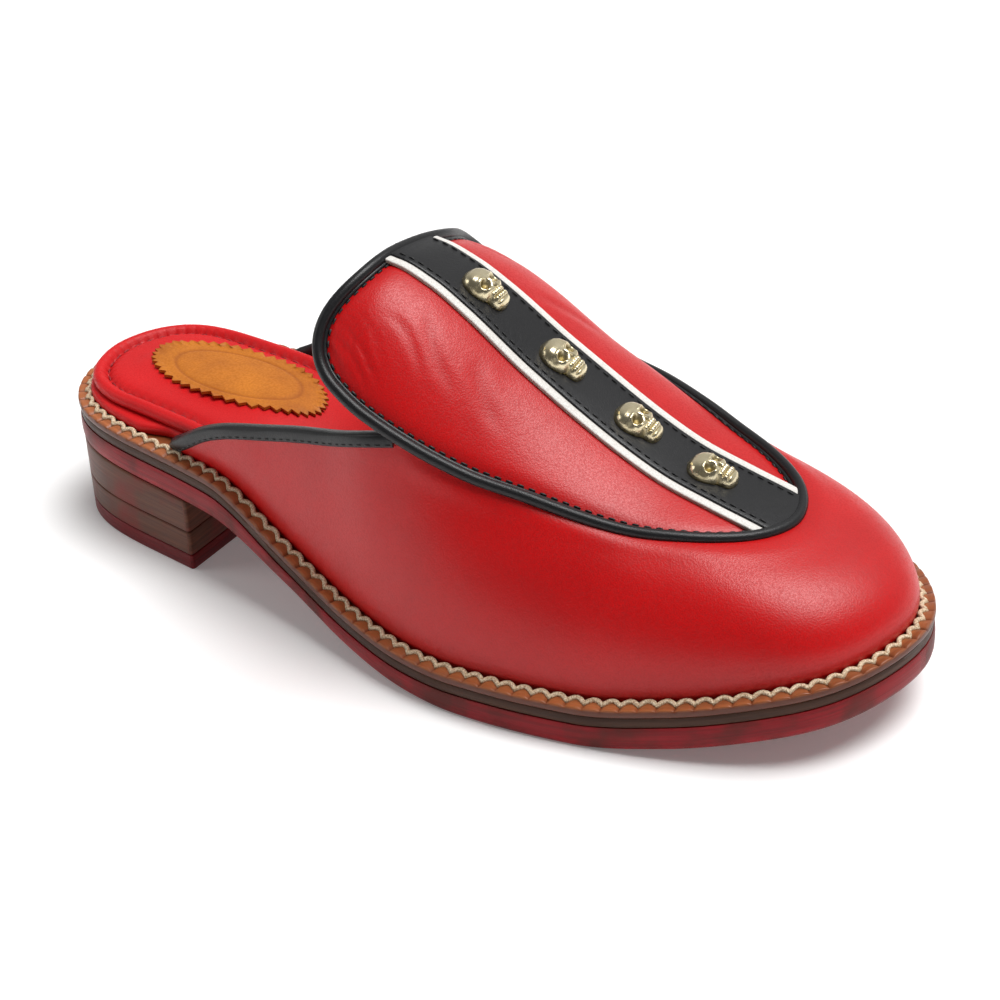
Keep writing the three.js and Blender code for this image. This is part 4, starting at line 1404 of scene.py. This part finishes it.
def build_vamp():
    height = np.linspace(0, 1, WALL_ROWS + 1)
    columns = len(WALL)
    seam = smooth_step(np.arange(columns), WING_COLUMNS - 12, WING_COLUMNS + 12)
    seam = seam * smooth_step(columns - 1 - np.arange(columns), WING_COLUMNS - 12, WING_COLUMNS + 12)
    puff = SEAM_PUFF * seam[:, None] * bump_at(height, 0.88, 0.07)[None, :]
    outer = WALL + WALL_NORMALS * puff[..., None]
    inner = WALL - WALL_NORMALS * LEATHER
    inner[:, 0, 2] = WALL[:, 0, 2]
    deep = np.zeros((columns, WALL_ROWS + 1))
    # Painted shade: darker at the foot of the wall beside the welt, and just under the apron's seam.
    deep += 0.7 * np.exp(-height / 0.03)[None, :]
    deep += 0.35 * seam[:, None] * smooth_step(height, 0.95, 1)[None, :]
    loops = np.concatenate([outer, inner[:, ::-1]], axis=1)
    marks = np.concatenate([deep, np.zeros_like(deep)], axis=1)
    count = loops.shape[1]
    faces = quads(columns, count, loop_columns=True)
    faces += [list(range(count)), list(range((columns - 1) * count, columns * count))]

    def is_lining(mesh):
        return np.array([min(v % count for v in face.vertices) > WALL_ROWS for face in mesh.polygons])

    made = piece("vamp_and_wings", loops.reshape(-1, 3), faces, red_leather,
                 {"deep": marks.ravel()}, second=(red_lining, is_lining))
    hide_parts("upper")


build_vamp()

# %% [markdown]
# ## Piping
#
# A leather-covered cord is sewn into the seam all round the apron, and over the tongue it turns
# into the rolled edge. Beside it lies the flange of the same leather that the cord is made of,
# held by a row of short stitches.

# %% Piping
PIPING_RADIUS = 1.6
PIPING_OUT, PIPING_LIFT = 0.6, 0.5
PIPING_SIDES = 18
PIPING_AROUND = 560
FLANGE = [(-0.4, 0.0), (-0.4, 1.1), (-0.8, 1.0), (-1.15, 0.85), (-1.4, 0.65), (-1.55, 0.4), (-1.55, -0.2)]


def edge_points(shares, places, dip=True):
    """Points round the apron's edge: how far out from it and up from the crown."""
    middle, normal, outward = edge_frame(shares)
    rows = []
    for out, up in places:
        plan = (middle + outward * out)[:, :2]
        sunk = EDGE_DIP * np.exp(-(min(out, 0) / EDGE_DIP_REACH) ** 2) if dip and out < 0 else 0
        if out < 0:
            rows.append(crown(plan) + normal * (up - sunk))
        else:
            rows.append(middle + outward * out + normal * up)
    return np.stack(rows, 1)


def build_piping():
    shares = np.arange(PIPING_AROUND) / PIPING_AROUND
    angle = 2 * np.pi * np.arange(PIPING_SIDES) / PIPING_SIDES
    middle, normal, outward = edge_frame(shares)
    centre = middle + outward * PIPING_OUT + normal * PIPING_LIFT
    turn = outward[:, None] * np.cos(angle)[None, :, None] + normal[:, None] * np.sin(angle)[None, :, None]
    points = centre[:, None] + turn * PIPING_RADIUS
    faces = quads(PIPING_AROUND, PIPING_SIDES, loop_rows=True, loop_columns=True)
    made = piece("apron_piping_cord", points.reshape(-1, 3), faces, black_leather)
    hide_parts("apron_piping")
    points = edge_points(shares, FLANGE)
    faces = quads(PIPING_AROUND, len(FLANGE), loop_rows=True, loop_columns=True)
    piece("piping_flange", points.reshape(-1, 3), faces, black_leather, sharp=60)
    closed = np.append(shares, 1.0)
    middle, normal, _ = edge_frame(closed)
    path = edge_points(closed, [(-1.95, 0.08)])[:, 0]
    places = stitch_places(path, normal, 3.1, 1.9)
    stitches("flange_stitches", *places, 0.3, 0.2, black_thread, "black_leather")


build_piping()

# %% [markdown]
# ## Bindings
#
# A strip of black leather is folded over the wing's cut edge and stitched through close to its
# lower edge. It follows the top of the wall and runs in under the piping at the junction.

# %% Bindings
BINDING_COLUMNS = 110
BINDING_END = 0.985
BINDING_SHOWS = 2.9


BINDING_PROFILE = table(
    "out deep over",
    (0.07, 1, 0), (0.65, 1, 0), (0.95, 0.94, 0), (1.1, 0.8, 0), (1.15, 0.35, 0), (1.05, 0, 0.1),
    (0.75, 0, 0.7), (0.2, 0, 1.05), (-1.0, 0, 1.2), (-2.2, 0, 1.05), (-2.75, 0, 0.7), (-3.05, 0, 0.1),
    (-3.15, 0.35, 0),
    (-3.1, 0.8, 0), (-2.95, 0.94, 0), (-2.65, 1, 0), (-2.07, 1, 0), (-2.07, 0.02, 0), (0.07, 0.02, 0),
)


def build_binding(side):
    t = np.linspace(0, BINDING_END, BINDING_COLUMNS)
    rear, join = feather_rear[side], feather_join[side]
    grid = wall_columns(rear + (join - rear) * t, topline(side, t), np.zeros(len(t)))
    normals = grid_normals(grid)[:, -1]
    normals *= np.sign(normals[:, 1:2]) * (-1 if side == "lateral" else 1)
    top = grid[:, -1]
    down = grid[:, -5] - top
    down = unit(down - (down * normals).sum(1, keepdims=True) * normals)
    reach = np.minimum(BINDING_SHOWS, np.linalg.norm(top - grid[:, 0], axis=1) - 0.4)[:, None]
    thick = BINDING_THICK * smooth_step(t, -0.05, 0.05)[:, None]
    rows = []
    for out, deep, over in zip(*BINDING_PROFILE.values()):
        away = out * thick if out > 0 else -LEATHER + (out + LEATHER) * thick if out < -LEATHER else out
        rows.append(top + normals * away + down * (reach * deep - thick * over))
    points = np.stack(rows, 1)
    count = points.shape[1]
    faces = quads(len(t), count, loop_columns=True)
    faces += [list(range(count)), list(range((len(t) - 1) * count, len(t) * count))]
    points = points.reshape(-1, 3)
    made = piece("topline_binding_" + side, points, faces, black_leather, sharp=70)
    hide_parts("binding_" + side)
    path = top + normals * (thick + 0.02) + down * (reach - 0.8)
    path, normals = path[5:], normals[5:]
    places = stitch_places(path, normals, 3.0, 1.9)
    stitches("binding_stitches_" + side, *places, 0.22, 0.18, black_thread, "black_leather")


for wing_side in ("lateral", "medial"):
    build_binding(wing_side)

# %% [markdown]
# ## Strap, trims and studs
#
# A black strap runs down the middle of the apron from piping to piping. White leather shows
# along both its edges, a wider strip laid under it. Four small metal skulls are riveted on in a
# row, each with its jaw to the toe. A skull is a relief: a low hump with the width of a face,
# with eyes, nose and teeth pressed in, and the hollows marked so that they keep a patina.

# %% Strap and trims
STRAP_ROWS = 170
STRAP_TOP = 1.55
TRIM_TOP = 1.25


def strip_ends(offset):
    """Where a line along the strap meets the apron's edge, at the tongue and at the toe."""
    ends = []
    for start, stop in ((0.38, 0.62), (-0.12, 0.12)):
        shares = np.linspace(start, stop, 2000)
        plan = apron_edge.at(shares)
        gap = plan[:, 1] - apron_middle(plan[:, 0])
        order = np.argsort(gap)
        ends.append(np.interp(offset, gap[order], plan[order, 0]))
    return ends


def strip_points(offsets, lifts, rows=STRAP_ROWS):
    columns = []
    for offset, lift in zip(offsets, lifts):
        rear, front = strip_ends(offset)
        x = np.linspace(rear, front, rows)
        plan = np.column_stack([x, apron_middle(x) + offset])
        sunk = crease_depth(plan) * 0.4
        columns.append(crown(plan) + crown_normal(plan) * (lift - sunk)[:, None])
    return np.stack(columns, 1)


def build_strip(name, offsets, lifts, finish, stands_for, deep):
    offsets, lifts = np.array(offsets), np.array(lifts)
    points = strip_points(offsets, lifts)
    count = len(offsets)
    faces = quads(STRAP_ROWS, count, loop_columns=True)
    faces += [list(range(count)), list(range((STRAP_ROWS - 1) * count, STRAP_ROWS * count))]
    marks = {"deep": np.tile(deep, STRAP_ROWS)}
    made = piece(name, points.reshape(-1, 3), faces, finish, marks, sharp=60)
    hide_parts(stands_for)


def build_strap():
    half = STRAP_WIDE / 2
    edge = [(0.15, 0.1), (0, 0.45), (0, 1.15), (0.2, 1.42), (0.6, STRAP_TOP)]
    edge = [(row_in - half, up) for row_in, up in edge]
    inner = [(v, STRAP_TOP) for v in np.linspace(-half + 1.5, half - 1.5, 15)]
    ring_points = edge + inner + [(-v, up) for v, up in edge[::-1]]
    offsets, lifts = zip(*ring_points)
    build_strip("studded_strap", offsets, lifts, black_leather, "centre_strap",
                np.zeros(len(offsets)))
    for side in (-1, 1):
        offset = side * (half - 1.7)
        path = strip_points([offset], [STRAP_TOP + 0.02], 400)[6:-6, 0]
        normals = crown_normal(path[:, :2])
        places = stitch_places(path, normals, 2.9, 1.9)
        name = "strap_stitches_" + ("lateral" if side < 0 else "medial")
        stitches(name, *places, 0.22, 0.2, black_thread, "black_leather")
    near, far = half - 0.15, half + TRIM_WIDE
    for side, label in ((-1, "lateral"), (1, "medial")):
        profile = [
            (near, 0.12), (near, 0.95), (near + 0.5, 1.15), (near + 1.2, TRIM_TOP),
            (far - 0.35, TRIM_TOP), (far - 0.08, 1.15), (far, 0.9), (far, 0.12),
        ]
        offsets, lifts = zip(*[(side * v, up) for v, up in profile])
        # Painted shade along the trim's sides: under the strap's edge and at its outer edge.
        deep = np.array([1, 0.8, 0.1, 0, 0, 0.1, 0.6, 1])
        build_strip("white_trim_" + label, offsets, lifts, white_leather, "trim_" + label,
                    deep)


build_strap()

# %% Skull relief
STUD_LONG_STEPS = 110
STUD_ACROSS_STEPS = 64
STUD_YAW = math.radians(7)
TOOTH_PITCH = 1.05
SKULL = table(
    "at half high",
    (-7, 0.6, 0.5), (-6.6, 2.1, 1.4), (-5.6, 3.8, 2.6), (-4, 4.8, 3.5), (-2, 5.1, 3.9), (-0.4, 4.9, 3.9),
    (0.8, 4.5, 3.75), (1.8, 4.1, 3.55), (2.8, 3.45, 3.35), (4.4, 3.4, 3.1), (5.7, 3.1, 2.6), (6.6, 2.0, 1.6),
    (7, 0.6, 0.5),
)


def stud_relief():
    """Points of one skull, face up, its jaw towards +x, and the mark of its hollows."""
    u = (-STUD_LONG / 2 * np.cos(np.linspace(0, np.pi, STUD_LONG_STEPS)))[:, None]
    t = -np.cos(np.linspace(0, np.pi, STUD_ACROSS_STEPS))[None, :]
    v = along(SKULL, "half")(u) * t
    away = np.abs(v)
    body = along(SKULL, "high")(u) * np.clip(1 - np.abs(t) ** 3.4, 0, 1) ** 0.5
    eye = np.exp(-((((u + 0.7) / 1.25) ** 2 + ((away - 2.2) / 1.35) ** 2) ** 2))
    nose = np.exp(-((((u - 1.2) / 0.75) ** 2 + (v / np.clip(0.3 + 0.4 * (u - 0.6), 0.2, 1)) ** 2) ** 1.5))
    brow = bump_at(u, -2.2, 0.5) * np.exp(-((away - 2.1) / 1.5) ** 2)
    bridge = np.exp(-((u + 0.5) / 1.1) ** 2 - (v / 0.5) ** 2)
    cheek = np.exp(-((u - 1.2) / 0.6) ** 2 - ((away - 3.0) / 0.9) ** 2)
    hollow = np.exp(-((u - 2.7) / 0.7) ** 2 - ((away - 3.3) / 0.6) ** 2)
    rows = bump_at(u, 2.75, 0.5) + bump_at(u, 4.15, 0.55)
    reach = 1 - smooth_step(away, 2.5, 2.9)
    mouth = bump_at(u, 3.4, 0.2) * reach
    lip = bump_at(u, 2.1, 0.16) * reach * smooth_step(away, 0.5, 0.9)
    chin = bump_at(u, 4.95, 0.18) * reach
    gaps = (0.5 + 0.5 * np.cos(2 * np.pi * v / TOOTH_PITCH)) ** 6 * np.clip(rows, 0, 1) * reach
    temple = np.exp(-((u + 1.2) / 1.1) ** 2 - ((away - 4.4) / 0.5) ** 2)
    z = body - 1.5 * eye - 0.8 * nose + 0.35 * brow + 0.2 * bridge + 0.4 * cheek - 0.6 * hollow
    z = z - 0.5 * mouth
    z = z - 0.35 * chin - 0.3 * lip - 0.3 * gaps - 0.4 * temple + 0.2 * np.clip(rows, 0, 1)
    z = np.where(body > 0.35, np.maximum(z, 0.35), body)
    deep = eye + nose + mouth + 0.8 * chin + 0.6 * lip + 0.8 * gaps + 0.6 * hollow + 0.35 * temple
    deep = np.clip(deep + 0.8 * np.exp(-z / 0.5), 0, 1)
    return np.stack([np.broadcast_to(u, v.shape), v, z], -1), deep


print("skull relief:", STUD_LONG_STEPS, "by", STUD_ACROSS_STEPS, "points")

# %% Skull studs


def build_studs():
    relief, deep = stud_relief()
    rows, columns = deep.shape
    base = relief.copy()
    base[..., 2] = -0.15
    top = relief.reshape(-1, 3)
    faces = quads(rows, columns)
    floor_first = len(top)
    faces += [[floor_first + i for i in face[::-1]] for face in quads(rows, columns)]
    rim = [(0, c) for c in range(columns)] + [(r, columns - 1) for r in range(1, rows)]
    rim += [(rows - 1, c) for c in range(columns - 2, -1, -1)] + [(r, 0) for r in range(rows - 2, 0, -1)]
    rim = [r * columns + c for r, c in rim]
    faces += [[a, b, floor_first + b, floor_first + a] for a, b in zip(rim, rim[1:] + rim[:1])]
    points = np.vstack([top, base.reshape(-1, 3)])
    marks = {"deep": np.concatenate([deep.ravel(), np.ones(deep.size)])}
    for number in range(STUD_COUNT):
        x = FIRST_STUD + STUD_PITCH * number
        plan = np.array([x, float(apron_middle(x))])
        normal = crown_normal(plan)
        forward = unit(np.array([1, 0, 0]) - normal[0] * normal)
        left = np.cross(normal, forward)
        forward, left = (
            forward * math.cos(STUD_YAW) + left * math.sin(STUD_YAW),
            left * math.cos(STUD_YAW) - forward * math.sin(STUD_YAW),
        )
        seat = crown(plan) + normal * (STRAP_TOP + 0.1)
        placed_points = seat + points @ np.array([forward, left, normal])
        made = piece(f"skull_{number + 1}", placed_points, faces, gold, marks)
        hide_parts(f"skull_stud_{number + 1}")


build_studs()
